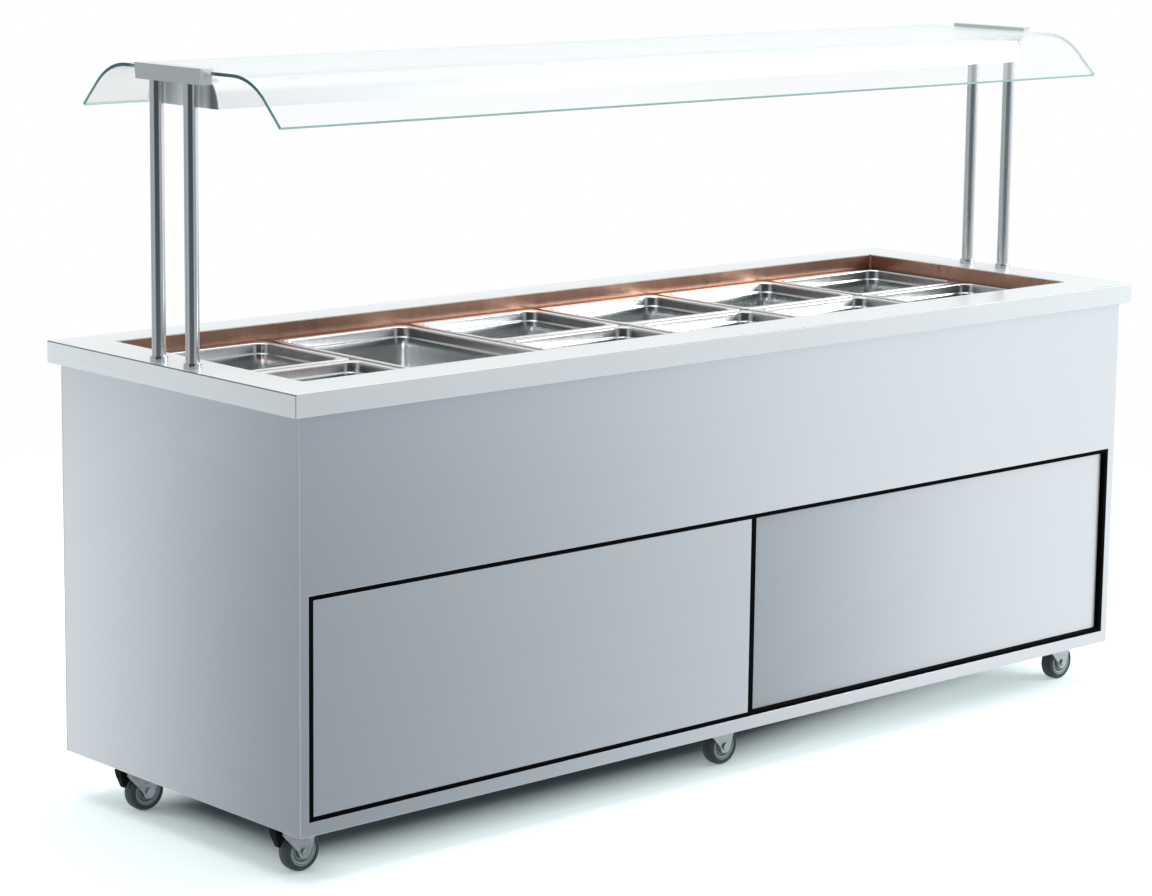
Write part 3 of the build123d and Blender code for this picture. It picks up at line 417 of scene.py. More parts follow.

# Well tank and bars
# A deep pressed tank of stainless sheet hangs under the rim, and folded bars rest on
# its ledge to carry the pans. The tank's walls have a warm, dull tone.

# Pressed stainless with a warm, dull tone and faint draw marks down its
# walls, 17 mm apart as the press leaves them.
well_steel = lined_metal("pressed_stainless_well", "#A27562", "#CDA28D", (16.7, 16.7, 125), 0.30, 0.08)
# Folded stainless: paler and clean, brushed along each bar. Its lines are drawn 1.4 mm
# apart, and are under 0.2 mm apart on real sheet.
bar_steel = lined_metal("folded_stainless_bar", "#C2C5C6", "#DADDDE", (1.43, 200, 1.43), 0.30)
dress("well_tank", well_steel)
dress("pan_bars", bar_steel)

# Gastronorm pans
# Each pan is deep-drawn from one stainless sheet. It has a flat flange with a
# turned-down lip, a stacking shoulder near the top and soft corners all round.
PAN_TOP = 0.830
PAN_WIDTH = 325
LONG_PAN = 530
HALF_PAN = 265
PAN_SHEET = 1 * MM
CORNER_STEPS = 8

# Deep-drawn stainless: bright, with soft mirrored bands in the corners and draw lines down
# the walls, drawn 4 mm apart where real ones are under 1 mm.
drawn_steel, tree, shader, place = start_finish("deep_drawn_stainless")
lines = streaks(tree, place, (4.17, 4.17, 143))
finish_steel(tree, shader, place, lines, "#C6C8C8", "#E0E2E2", 0.22, 0.06, 0.08)


def rounded_ring(half_x, half_y, corner, z):
    """The points of a rounded rectangle at one height, the same number for every ring."""
    ring = []
    for quarter in range(4):
        cx = (half_x - corner) * (1 if quarter in (0, 3) else -1)
        cy = (half_y - corner) * (1 if quarter in (0, 1) else -1)
        for step in range(CORNER_STEPS + 1):
            a = math.pi / 2 * (quarter + step / CORNER_STEPS)
            ring.append((cx + corner * math.cos(a), cy + corner * math.sin(a), z))
    return ring


def loft_rings(name, rings, capped):
    """A mesh that joins one ring of points to the next, closed at the last ring if capped."""
    mesh = bpy.data.meshes.new(name)
    form = bmesh.new()
    rows = [[form.verts.new(p) for p in ring] for ring in rings]
    count = len(rings[0])
    for low, high in zip(rows, rows[1:]):
        for i in range(count):
            j = (i + 1) % count
            form.faces.new((low[i], low[j], high[j], high[i]))
    if capped:
        form.faces.new(rows[-1])
    bmesh.ops.recalc_face_normals(form, faces=form.faces)
    form.to_mesh(mesh)
    form.free()
    for face in mesh.polygons:
        face.use_smooth = True
    return mesh


def pan_mesh(name, length):
    """The inner face of a pan, from its lip over the flange and down to the floor.

    Each ring is its inset from the flange's edge, its height over the flange and its corner
    radius, all in mm.
    """
    profile = [
        (0.0, -5.0, 11.0), (0.0, -1.6, 11.0), (0.4, -0.5, 10.8), (1.5, 0.0, 10.0),
        (6.0, 0.0, 14.0), (11.0, 0.0, 22.0), (12.8, -0.5, 24.5), (13.8, -2.0, 25.0),
        (14.2, -4.0, 25.0), (14.8, -17.0, 25.0), (15.4, -18.6, 24.8), (16.8, -20.0, 24.4),
        (17.4, -21.6, 24.2), (17.9, -40.0, 24.0), (19.4, -70.0, 23.0), (20.6, -89.0, 22.0),
        (21.4, -93.5, 21.5), (23.2, -97.0, 20.5), (26.4, -98.7, 19.0), (31.0, -99.0, 17.0),
        (60.0, -98.6, 8.0), (100.0, -98.3, 3.0),
    ]
    rings = []
    for inset, height, corner in profile:
        half_x = (PAN_WIDTH / 2 - inset) * MM
        half_y = (length / 2 - inset) * MM
        rings.append(rounded_ring(half_x, half_y, corner * MM, PAN_TOP + height * MM))
    return loft_rings(name, rings, True)


long_pan = pan_mesh("long_pan", LONG_PAN)
half_pan = pan_mesh("half_pan", HALF_PAN)
for node in sorted(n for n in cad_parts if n.startswith("pan_") and n != "pan_bars"):
    low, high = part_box(node)
    drawn_pan = long_pan if high.y - low.y > 1.5 * HALF_PAN * MM else half_pan
    piece = bpy.data.objects.new(node + "_drawn", drawn_pan)
    piece.location = ((low.x + high.x) / 2, (low.y + high.y) / 2, 0)
    scene.collection.objects.link(piece)
    piece.data.materials.clear()
    piece.data.materials.append(drawn_steel)
    sheet = piece.modifiers.new("sheet", "SOLIDIFY")
    sheet.thickness = PAN_SHEET
    sheet.offset = -1
    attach(piece, node + "_body")
    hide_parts(node)

# Heater and insulation
# Tubular elements, darkened by heat, are clipped under the tank, and slabs of mineral
# wool lie under them and round the tank.

# Heat-darkened steel: brown-black and matt, in patches about 33 mm across.
element_steel = lined_metal("heat_darkened_tube", "#3A3431", "#6A605A", (33.3, 33.3, 33.3), 0.45, 0.1)
dress("heating_elements", element_steel)

# Mineral wool: matt straw-coloured fibres, in clumps of about 4 mm.
wool, tree, shader, place = start_finish("mineral_wool_slab")
fibres = add_node(
    tree, "ShaderNodeTexNoise",
    {"Vector": place, "Scale": 1 / (3.85 * MM), "Detail": 6.0, "Roughness": 0.7},
)
tone = add_node(
    tree, "ShaderNodeMix",
    {0: fibres.outputs["Fac"], 6: linear("#8A7A4C"), 7: linear("#C9BD8E")}, data_type="RGBA",
)
relief = add_node(
    tree, "ShaderNodeBump", {"Height": fibres.outputs["Fac"], "Strength": 0.8, "Distance": 2 * MM}
)
shader.inputs["Roughness"].default_value = 0.95
tree.links.new(tone.outputs[2], shader.inputs["Base Color"])
tree.links.new(relief.outputs[0], shader.inputs["Normal"])
dress("insulation", wool)

# Body panels
# Folded sheets of brushed stainless steel make the ends, the front and the back. Their
# grain runs level, and they still have the soft, almost matt sheen of new sheet.


def sheet_steel(name, spacing, axis, reach, lean):
    """Brushed panel sheet, whose slight bow is the lean of its face at both ends of reach."""
    material, tree, shader, place = start_finish(name)
    lines = streaks(tree, place, spacing, finer=0.0)
    finish_steel(tree, shader, place, lines, "#E0E5E9", "#E4E9ED", 0.23, 0.005, 0.0)
    shader.inputs["Metallic"].default_value = 0.8
    spot = add_node(tree, "ShaderNodeSeparateXYZ", {0: place})
    bow = add_node(
        tree, "ShaderNodeMapRange",
        {"Value": spot.outputs[axis], "From Min": reach[0], "From Max": reach[1],
         "To Min": lean[0], "To Max": lean[1]},
    )
    tilt = add_node(tree, "ShaderNodeCombineXYZ", {axis: bow.outputs["Result"]})
    surface = add_node(tree, "ShaderNodeNewGeometry")
    leaning = add_node(
        tree, "ShaderNodeVectorMath", {0: surface.outputs["Normal"], 1: tilt.outputs[0]}, operation="ADD"
    )
    bowed = add_node(
        tree, "ShaderNodeVectorMath", {0: leaning.outputs[0]}, operation="NORMALIZE"
    )
    tree.links.new(bowed.outputs[0], shader.inputs["Normal"])
    return material


# Brushed stainless: a cool, even grey with a soft sheen, and very faint level lines. They are
# under 0.2 mm apart on real sheet, and are drawn 9 mm apart and 830 mm long to show at all.
# Thin sheet is never quite flat, and its bow makes it a little lighter towards one end.
level_grain = (833, 9.09, 9.09)
front_steel = sheet_steel("brushed_stainless_front", level_grain, 0, (-1.08, 1.08), (-0.012, 0.044))
end_steel = sheet_steel("brushed_stainless_end", (9.09, 833, 9.09), 1, (-0.35, 0.35), (-0.022, 0.034))
dress("front_frame", front_steel, 0.0007)
dress("back_panel", front_steel)
dress("end_panel_left", end_steel, 0.0007)
dress("end_panel_right", end_steel, 0.0007)

# Cabinet floor and liner
# Plain stainless sheet, folded and spot-welded. Nothing in here is polished.

# Mill-finish stainless: duller than the outside, so it takes up light more than it mirrors.
# Its rolling lines are drawn 11 mm apart, and are far finer on real sheet.
cabinet_steel = lined_metal("plain_stainless_cabinet", "#A6AAAE", "#BCC0C3", (167, 11.1, 11.1), 0.40, 0.06)
cabinet_steel.node_tree.nodes["Principled BSDF"].inputs["Metallic"].default_value = 0.5
dress("cabinet_floor", cabinet_steel, 0.0005)
dress("cabinet_liner", cabinet_steel)

# Doors and their black frame
# Two shallow steel trays slide in the tracks of a black extruded frame. Their edge profiles
# and glides are black plastic too.

# The leaves are the body's own brushed stainless, each with a bow of its own.
left_leaf = sheet_steel("brushed_stainless_left_leaf", level_grain, 0, (-1.06, 0.0), (0.001, 0.007))
right_leaf = sheet_steel("brushed_stainless_right_leaf", level_grain, 0, (0.0, 1.06), (-0.047, 0.040))
dress("door_left", left_leaf, 0.0005)
dress("door_right", right_leaf, 0.0005)

# Extruded black plastic: deep and matt, with a fine skin, drawn 2.4 mm across so that it
# shows up close.
black_profile, tree, shader, place = start_finish("extruded_black_profile")
skin = add_node(
    tree, "ShaderNodeTexNoise", {"Vector": place, "Scale": 1 / (2.38 * MM), "Detail": 2.0}
)
tone = add_node(
    tree, "ShaderNodeMix",
    {0: skin.outputs["Fac"], 6: linear("#010102"), 7: linear("#050506")}, data_type="RGBA",
)
relief = add_node(
    tree, "ShaderNodeBump",
    {"Height": skin.outputs["Fac"], "Strength": 0.15, "Distance": 0.4 * MM},
)
shader.inputs["Roughness"].default_value = 0.7
shader.inputs["Specular IOR Level"].default_value = 0.04
tree.links.new(tone.outputs[2], shader.inputs["Base Color"])
tree.links.new(relief.outputs[0], shader.inputs["Normal"])
surround = dress("door_surround", black_profile, 0.0005)
# The leaves are brushed, and would otherwise show the frame's lip as a second, sharp line.
surround.visible_glossy = False
dress("door_left_trim", black_profile, 0.0005)
dress("door_right_trim", black_profile, 0.0005)

# Casters
# Each caster has a zinc-plated plate and a pressed fork on a ball race, an axle bolt,
# and a wheel with a grey hub and a darker tyre moulded round it.
WHEEL_STEPS = 72
HUB_RADIUS = 27 * MM
TYRE_INSIDE = 26.9 * MM

# Bright zinc plate: pale and faintly blue-green, with crystal patches of 6 mm and hazy
# spots of 22 mm where it has dulled.
zinc, tree, shader, place = start_finish("zinc_plated_steel")
patches = add_node(
    tree, "ShaderNodeTexVoronoi", {"Vector": place, "Scale": 1 / (5.56 * MM)}, feature="SMOOTH_F1"
)
haze = add_node(tree, "ShaderNodeTexNoise", {"Vector": place, "Scale": 1 / (22.2 * MM), "Detail": 4.0})
blend = add_node(
    tree, "ShaderNodeMix",
    {0: 0.5, 2: patches.outputs["Distance"], 3: haze.outputs["Fac"]}, data_type="FLOAT",
)
tone = add_node(
    tree, "ShaderNodeMix",
    {0: blend.outputs[0], 6: linear("#AEBCBC"), 7: linear("#EAF1F0")}, data_type="RGBA",
)
gloss = add_node(
    tree, "ShaderNodeMapRange", {"Value": haze.outputs["Fac"], "To Min": 0.2, "To Max": 0.42}
)
shader.inputs["Metallic"].default_value = 1.0
tree.links.new(tone.outputs[2], shader.inputs["Base Color"])
tree.links.new(gloss.outputs["Result"], shader.inputs["Roughness"])
dress("caster_plates", zinc, 0.0006)


def moulded(name, dark, light, roughness, grit, bump):
    """An even colour with a fine skin, as plastic takes from its mould; grit is in mm."""
    material, tree, shader, place = start_finish(name)
    grain = add_node(
        tree, "ShaderNodeTexNoise", {"Vector": place, "Scale": 1 / (grit * MM), "Detail": 3.0}
    )
    tone = add_node(
        tree, "ShaderNodeMix",
        {0: grain.outputs["Fac"], 6: linear(dark), 7: linear(light)}, data_type="RGBA",
    )
    relief = add_node(
        tree, "ShaderNodeBump",
        {"Height": grain.outputs["Fac"], "Strength": bump, "Distance": 0.3 * MM},
    )
    shader.inputs["Roughness"].default_value = roughness
    tree.links.new(tone.outputs[2], shader.inputs["Base Color"])
    tree.links.new(relief.outputs[0], shader.inputs["Normal"])
    return material


# Grey thermoplastic rubber: matt, with a fine bloom. The grit of this mould and of the next
# ones is drawn 1.7 to 5 mm across, and is well under 1 mm on real parts.
tyre_rubber = moulded("grey_rubber_tyre", "#303A3A", "#465250", 0.62, 1.67, 0.3)

# Grey moulded nylon: lighter than the tyre, with raised rings that catch the light; the darker
# rings in the hollows between them are painted shade. Each ring is its radius in mm and its shade.
hub_nylon = moulded("grey_nylon_hub", "#A2B0AF", "#BCC8C6", 0.42, 3.33, 0.15)
tree = hub_nylon.node_tree
centre = add_node(tree, "ShaderNodeTexCoord").outputs["Object"]
disc = add_node(tree, "ShaderNodeVectorMath", {0: centre, 1: (1.0, 0.0, 1.0)}, operation="MULTIPLY")
radius = add_node(tree, "ShaderNodeVectorMath", {0: disc.outputs[0]}, operation="LENGTH")
ring_shades = [
    (0.0, "#FFFFFF"), (10.2, "#FFFFFF"), (10.9, "#6F7A7A"), (14.4, "#9AA5A5"), (15.2, "#FFFFFF"),
    (16.2, "#FFFFFF"), (17.0, "#7D8888"), (20.0, "#8C9797"), (20.9, "#F4F8F8"), (23.6, "#FFFFFF"),
    (24.2, "#6A7575"), (25.2, "#6A7575"), (25.8, "#E8EEEE"),
]
across_hub = add_node(
    tree, "ShaderNodeMapRange", {"Value": radius.outputs["Value"], "From Max": HUB_RADIUS}
)
# The hub's painted shade, ring by ring.
painted_ring_shade = add_node(
    tree, "ShaderNodeValToRGB", {"Fac": across_hub.outputs["Result"]},
    stops=[(where * MM / HUB_RADIUS, code) for where, code in ring_shades],
)
shader = tree.nodes["Principled BSDF"]
plain = shader.inputs["Base Color"].links[0].from_socket
shaded = add_node(
    tree, "ShaderNodeMix", {0: 1.0, 6: plain, 7: painted_ring_shade.outputs["Color"]},
    data_type="RGBA", blend_type="MULTIPLY",
)
tree.links.new(shaded.outputs[2], shader.inputs["Base Color"])

# Moulded black nylon: deep and matt, with almost no shine.
pedal_nylon = moulded("black_nylon_pedal", "#030304", "#09090A", 0.55, 2.5, 0.25)
pedal_nylon.node_tree.nodes["Principled BSDF"].inputs["Specular IOR Level"].default_value = 0.1

# The section of the wheel's one side, from the middle of the tread to the bore: how far out
# from the middle, and the radius, in mm.
half_wheel = [
    (0.0, 37.5), (0.35, 37.3), (6.5, 37.25), (9.2, 36.6), (11.4, 35.2), (12.8, 33.2), (13.5, 30.9),
    (13.45, 30.5), (12.9, 30.1), (12.9, 29.4), (13.45, 29.0), (13.5, 28.5), (13.4, 27.4), (12.7, 27.0),
    (12.5, 26.5), (12.5, 22.2), (12.1, 21.5), (9.0, 20.8), (8.5, 20.2), (8.5, 16.6), (9.2, 16.2),
    (9.2, 15.2), (8.5, 14.8), (8.5, 10.9), (9.0, 10.3), (14.3, 9.8), (14.9, 9.3), (15.0, 8.8),
    (15.0, 4.05),
]


def wheel_mesh():
    """The wheel's section turned about its axle; the tyre is all that lies outside the hub."""
    section = [(-y, r) for y, r in reversed(half_wheel)] + half_wheel[1:]
    rings = []
    for y, r in section:
        ring = []
        for step in range(WHEEL_STEPS):
            a = 2 * math.pi * step / WHEEL_STEPS
            ring.append((r * math.cos(a) * MM, y * MM, r * math.sin(a) * MM))
        rings.append(ring)
    rings.append(rings[0])
    mesh = loft_rings("moulded_wheel", rings, False)
    mesh.materials.append(hub_nylon)
    mesh.materials.append(tyre_rubber)
    for face in mesh.polygons:
        edge_radius = math.hypot(face.center.x, face.center.z)
        face.material_index = 1 if edge_radius > TYRE_INSIDE else 0
    return mesh


wheel_form = wheel_mesh()
for number in range(1, 7):
    low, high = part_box(f"wheel_{number}")
    piece = bpy.data.objects.new(f"wheel_{number}_moulded", wheel_form)
    piece.location = ((low.x + high.x) / 2, (low.y + high.y) / 2, (low.z + high.z) / 2)
    scene.collection.objects.link(piece)
    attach(piece, f"wheel_{number}_body")
    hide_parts(f"wheel_{number}")
    dress(f"fork_{number}", zinc, 0.0006)

# A pedal narrows to half its width towards its foot, and all its edges are rounded.
for number in (1, 4):
    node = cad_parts[f"brake_pedal_{number}"]
    low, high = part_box(f"brake_pedal_{number}")
    middle = (low.y + high.y) / 2
    piece = bpy.data.objects.new(f"brake_pedal_{number}_moulded", node.data.copy())
    for corner in piece.data.vertices:
        up = (corner.co.z - low.z) / (high.z - low.z)
        corner.co.y = middle + (corner.co.y - middle) * (0.42 + 0.42 * up)
    piece.data.materials.clear()
    piece.data.materials.append(pedal_nylon)
    weld = piece.modifiers.new("joined", "WELD")
    weld.merge_threshold = 0.00001
    softened = piece.modifiers.new("softened", "BEVEL")
    softened.width = 1.2 * MM
    softened.segments = 3
    softened.limit_method = "ANGLE"
    softened.angle_limit = math.radians(35)
    scene.collection.objects.link(piece)
    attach(piece, f"pedal_{number}")
    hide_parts(f"brake_pedal_{number}")

# Posts and their bases
# Polished stainless tubes stand in turned bases on the rim, two at each end. A stud
# goes down through each base, and a nut under the rim holds it.

# Polished stainless: the dark side of the room is a core between two pale edges, with faint
# lines along the tube, 11 mm apart. The right tubes are duller and mirror a little less.
polished, tree, shader, place = start_finish("polished_stainless_post")
lines = streaks(tree, place, (11.1, 11.1, 333))
finish_steel(tree, shader, place, lines, "#D2D5D7", "#E0E3E4", 0.20, 0.02, 0.0)
spot = add_node(tree, "ShaderNodeSeparateXYZ", {0: place})
handled = add_node(
    tree, "ShaderNodeMapRange",
    {"Value": spot.outputs[0], "From Min": -1.0, "From Max": 1.0, "To Min": 0.98, "To Max": 0.80},
)
tree.links.new(handled.outputs["Result"], shader.inputs["Metallic"])
dress("posts", polished)
dress("post_bases", polished, 0.0008)

# Canopy brackets and clear fittings
# A cast aluminium bar joins each pair of posts and grips the end of the glass. Clear caps
# close its ends, and clear pads sit between the lamp housing and the glass.

# Satin cast aluminium: a soft light grey, linished along the bar. Its lines are drawn 3.3 mm
# apart, coarser than they are. The bar's two end faces are capped, and look white.
satin_bar, tree, shader, place = start_finish("satin_aluminium_bracket")
lines = streaks(tree, place, (3.33, 167, 3.33))
tone = finish_steel(tree, shader, place, lines, "#C8CDCD", "#D6DADA", 0.36, 0.03, 0.02)
surface = add_node(tree, "ShaderNodeNewGeometry")
side_on = add_node(tree, "ShaderNodeSeparateXYZ", {0: surface.outputs["Normal"]})
lengthwise = add_node(tree, "ShaderNodeMath", {0: side_on.outputs[1]}, operation="ABSOLUTE")
capped = add_node(
    tree, "ShaderNodeMath", {0: lengthwise.outputs[0], 1: 0.8}, operation="GREATER_THAN"
)
cap_tone = add_node(
    tree, "ShaderNodeMix", {0: capped.outputs[0], 6: tone, 7: linear("#F4F7F7")}, data_type="RGBA"
)
metal_part = add_node(
    tree, "ShaderNodeMapRange", {"Value": capped.outputs[0], "To Min": 0.85, "To Max": 0.0}
)
tree.links.new(cap_tone.outputs[2], shader.inputs["Base Color"])
tree.links.new(metal_part.outputs["Result"], shader.inputs["Metallic"])
dress("canopy_brackets", satin_bar)

# Clear acrylic: nearly invisible face on, with a light veil where it is seen edge on, and
# hazy spots of 17 mm where wiping has dulled it.
acrylic, tree, shader, place = start_finish("clear_acrylic")
haze = add_node(
    tree, "ShaderNodeTexNoise", {"Vector": place, "Scale": 1 / (16.7 * MM), "Detail": 2.0}
)
gloss = add_node(
    tree, "ShaderNodeMapRange", {"Value": haze.outputs["Fac"], "To Min": 0.04, "To Max": 0.16}
)
edge_on = add_node(tree, "ShaderNodeLayerWeight", {"Blend": 0.5})
veil = add_node(
    tree, "ShaderNodeMapRange",
    {"Value": edge_on.outputs["Facing"], "To Min": 0.03, "To Max": 0.14},
)
shader.inputs["Base Color"].default_value = linear("#FAFCFC")
shader.inputs["IOR"].default_value = 1.49
tree.links.new(gloss.outputs["Result"], shader.inputs["Roughness"])
tree.links.new(veil.outputs["Result"], shader.inputs["Alpha"])
dress("glass_supports", acrylic)

# Glass canopy
# One sheet of clear toughened glass, bent to a rounded shoulder along both sides. Its
# faces are almost colourless, and its ground edges show the glass's own green.
GLASS_TOP = 1.374
GLASS = 6 * MM
BEND = 130 * MM
HALF_WIDTH = 291 * MM
DROP = 80 * MM
GLASS_END = 1.061
SERVICE_Y = 0.010
BEND_STEPS = 20

# Clear toughened glass: what lies behind shows through its slopes, and the flat top, seen
# at a low angle, is a pale sheen. Roller waves of 330 mm shift its gloss a little.
sheet_glass, tree, shader, place = start_finish("clear_toughened_glass")
roller_wave = add_node(
    tree, "ShaderNodeTexNoise", {"Vector": place, "Scale": 1 / (333 * MM), "Detail": 1.0}
)
gloss = add_node(
    tree, "ShaderNodeMapRange", {"Value": roller_wave.outputs["Fac"], "To Min": 0.14, "To Max": 0.20}
)
edge_on = add_node(tree, "ShaderNodeLayerWeight", {"Blend": 0.5})
veil = add_node(
    tree, "ShaderNodeMapRange",
    {"Value": edge_on.outputs["Facing"], "To Min": 0.06, "To Max": 0.30},
)
shallow = add_node(
    tree, "ShaderNodeMapRange",
    {"Value": edge_on.outputs["Facing"], "From Min": 0.70, "From Max": 0.94, "To Min": 0.0, "To Max": 0.50},
    interpolation_type="SMOOTHSTEP",
)
cover = add_node(
    tree, "ShaderNodeMath", {0: veil.outputs["Result"], 1: shallow.outputs["Result"]}, operation="ADD"
)
shader.inputs["Base Color"].default_value = linear("#CDD4D5")
shader.inputs["IOR"].default_value = 1.52
tree.links.new(gloss.outputs["Result"], shader.inputs["Roughness"])
tree.links.new(cover.outputs[0], shader.inputs["Alpha"])

# Ground glass edge: dark green-blue where the eye looks along the sheet, paler lower down
# and along the straight edges, and painted pale at the right end as light through the sheet shows it. Its
# grinding marks are about 1 mm.
edge_glass, tree, shader, place = start_finish("ground_glass_edge")
grinding = add_node(
    tree, "ShaderNodeTexNoise", {"Vector": place, "Scale": 1 / (1.11 * MM), "Detail": 2.0}
)
tone = add_node(
    tree, "ShaderNodeMix",
    {0: grinding.outputs["Fac"], 6: linear("#174B50"), 7: linear("#2C656A")}, data_type="RGBA",
)
spot = add_node(tree, "ShaderNodeSeparateXYZ", {0: place})
down = add_node(
    tree, "ShaderNodeMapRange",
    {"Value": spot.outputs[2], "From Min": GLASS_TOP - 10 * MM, "From Max": GLASS_TOP - 0.9 * DROP,
     "To Min": 0.0, "To Max": 1.0},
)
paler = add_node(
    tree, "ShaderNodeMix", {0: down.outputs["Result"], 6: tone.outputs[2], 7: linear("#68958F")},
    data_type="RGBA",
)
# The right end's edge is painted pale, standing in for light seen through the sheet.
far_end = add_node(tree, "ShaderNodeMath", {0: spot.outputs[0], 1: 0.5}, operation="GREATER_THAN")
pale_far_end_tone = add_node(
    tree, "ShaderNodeMix", {0: far_end.outputs[0], 6: paler.outputs[2], 7: linear("#DDE7E6")},
    data_type="RGBA",
)
shader.inputs["Roughness"].default_value = 0.25
shader.inputs["IOR"].default_value = 1.52
surface = add_node(tree, "ShaderNodeNewGeometry")
edge_way = add_node(tree, "ShaderNodeSeparateXYZ", {0: surface.outputs["Normal"]})
across_x = add_node(tree, "ShaderNodeMath", {0: edge_way.outputs[0]}, operation="ABSOLUTE")
long_edge = add_node(tree, "ShaderNodeMath", {0: across_x.outputs[0], 1: 0.5}, operation="LESS_THAN")
edge_tone = add_node(
    tree, "ShaderNodeMix", {0: long_edge.outputs[0], 6: pale_far_end_tone.outputs[2], 7: linear("#A4C8C3")},
    data_type="RGBA",
)
tree.links.new(edge_tone.outputs[2], shader.inputs["Base Color"])


def glass_side(offset):
    """One face of the bent sheet from its front tip to its back tip, offset inwards."""
    turn = math.radians(45)
    fall = DROP - BEND * (1 - math.cos(turn))
    flat = HALF_WIDTH - BEND * math.sin(turn) - fall / math.tan(turn)
    radius = BEND - offset
    half = [
        (flat + radius * math.sin(turn * i / BEND_STEPS),
         GLASS_TOP - BEND + radius * math.cos(turn * i / BEND_STEPS))
        for i in range(BEND_STEPS + 1)
    ]
    half.append((HALF_WIDTH - offset * math.sin(turn), GLASS_TOP - DROP - offset * math.cos(turn)))
    return [(-y, z) for y, z in reversed(half)] + half


outside = glass_side(0)
inside = glass_side(GLASS)
section = outside + list(reversed(inside))
rings = [[(x, SERVICE_Y + y, z) for y, z in section] for x in (-GLASS_END, GLASS_END)]
glass_mesh = loft_rings("bent_glass", rings, False)
# The two ends and the two long edges of the sheet are ground.
form = bmesh.new()
form.from_mesh(glass_mesh)
form.verts.ensure_lookup_table()
count = len(section)
side = len(outside)
for start in (0, count):
    for i in range(side - 1):
        a, b = form.verts[start + i], form.verts[start + i + 1]
        c, d = form.verts[start + count - 2 - i], form.verts[start + count - 1 - i]
        face = form.faces.new((a, b, c, d))
        face.material_index = 1
for face in form.faces:
    if abs(face.normal.x) < 0.1 and face.calc_center_median().z < GLASS_TOP - DROP + 1 * MM:
        face.material_index = 1
bmesh.ops.recalc_face_normals(form, faces=form.faces)
form.to_mesh(glass_mesh)
form.free()
glass_mesh.materials.append(sheet_glass)
glass_mesh.materials.append(edge_glass)
for face in glass_mesh.polygons:
    face.use_smooth = face.material_index == 0
glass_mesh.set_sharp_from_angle(angle=math.radians(30))
bent_glass = bpy.data.objects.new("bent_glass_canopy", glass_mesh)
scene.collection.objects.link(bent_glass)
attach(bent_glass, "counter")
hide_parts("glass_canopy")

# Lamp housing
# An anodised aluminium extrusion with pressed end caps. A clear sheet closes it below,
# under quartz lamps in ceramic holders.

# Blasted and anodised aluminium: a bright, milky white that hardly shades. Its blasted
# grain is drawn 2.9 mm across, coarser than it is.
anodised, tree, shader, place = start_finish("anodised_aluminium_housing")
blasted = add_node(
    tree, "ShaderNodeTexNoise", {"Vector": place, "Scale": 1 / (2.86 * MM), "Detail": 2.0}
)
tone = add_node(
    tree, "ShaderNodeMix",
    {0: blasted.outputs["Fac"], 6: linear("#F6F6F4"), 7: linear("#FDFDFB")}, data_type="RGBA",
)
relief = add_node(
    tree, "ShaderNodeBump",
    {"Height": blasted.outputs["Fac"], "Strength": 0.1, "Distance": 0.3 * MM},
)
shader.inputs["Roughness"].default_value = 0.38
shader.inputs["Metallic"].default_value = 0.5
tree.links.new(tone.outputs[2], shader.inputs["Base Color"])
tree.links.new(relief.outputs[0], shader.inputs["Normal"])
dress("lamp_housing", anodised)

# Pressed satin aluminium, with painted shade: dark at its rounded front edge and, as a
# painted shadow of the front post, again behind that post, and pale between. Its lines are drawn 3.3 mm
# apart.
cap_low, cap_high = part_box("lamp_end_caps")
cap_metal, tree, shader, place = start_finish("satin_aluminium_end_cap")
lines = streaks(tree, place, (3.33, 167, 3.33))
tone = finish_steel(tree, shader, place, lines, "#F0F2F2", "#FAFCFC", 0.40, 0.04, 0.02)
spot = add_node(tree, "ShaderNodeSeparateXYZ", {0: place})
along_cap = add_node(
    tree, "ShaderNodeMapRange",
    {"Value": spot.outputs[1], "From Min": cap_low.y, "From Max": cap_high.y},
)
# Painted shade across the cap from front to back: its rounded front edge, then the front post's shadow.
painted_cap_shade_stops = [
    (0.0, "#7A8280"), (0.08, "#7A8280"), (0.17, "#FFFFFF"), (0.31, "#F4F4F4"), (0.36, "#8E9493"),
    (0.45, "#F4F6F6"), (1.0, "#FFFFFF"),
]
painted_cap_shade = add_node(tree, "ShaderNodeValToRGB", {"Fac": along_cap.outputs["Result"]}, stops=painted_cap_shade_stops)
cap_tone_with_shade = add_node(
    tree, "ShaderNodeMix", {0: 1.0, 6: tone, 7: painted_cap_shade.outputs["Color"]},
    data_type="RGBA", blend_type="MULTIPLY",
)
tree.links.new(cap_tone_with_shade.outputs[2], shader.inputs["Base Color"])
shader.inputs["Metallic"].default_value = 0.3
dress("lamp_end_caps", cap_metal)
# The thin glass under the lamps is as clear as the acrylic of the fittings.
dress("lamp_diffuser", acrylic)

# Frosted quartz: a milky, warm white tube, with a frost drawn 3.3 mm across.
quartz, tree, shader, place = start_finish("frosted_quartz_tube")
frost = add_node(
    tree, "ShaderNodeTexNoise", {"Vector": place, "Scale": 1 / (3.33 * MM), "Detail": 2.0}
)
tone = add_node(
    tree, "ShaderNodeMix",
    {0: frost.outputs["Fac"], 6: linear("#E4DCC8"), 7: linear("#F3EEE2")}, data_type="RGBA",
)
shader.inputs["Roughness"].default_value = 0.3
tree.links.new(tone.outputs[2], shader.inputs["Base Color"])
dress("heat_lamps", quartz)

# Controls on the back
# A stainless plate carries two rockers with a pilot lamp above each, and the
# thermostat's knob. The gland below is for the mains cable.

# Moulded black nylon: deep black with a soft shine.
black_nylon = moulded("black_nylon_switch", "#0E0F10", "#1D1E20", 0.38, 2.0, 0.15)
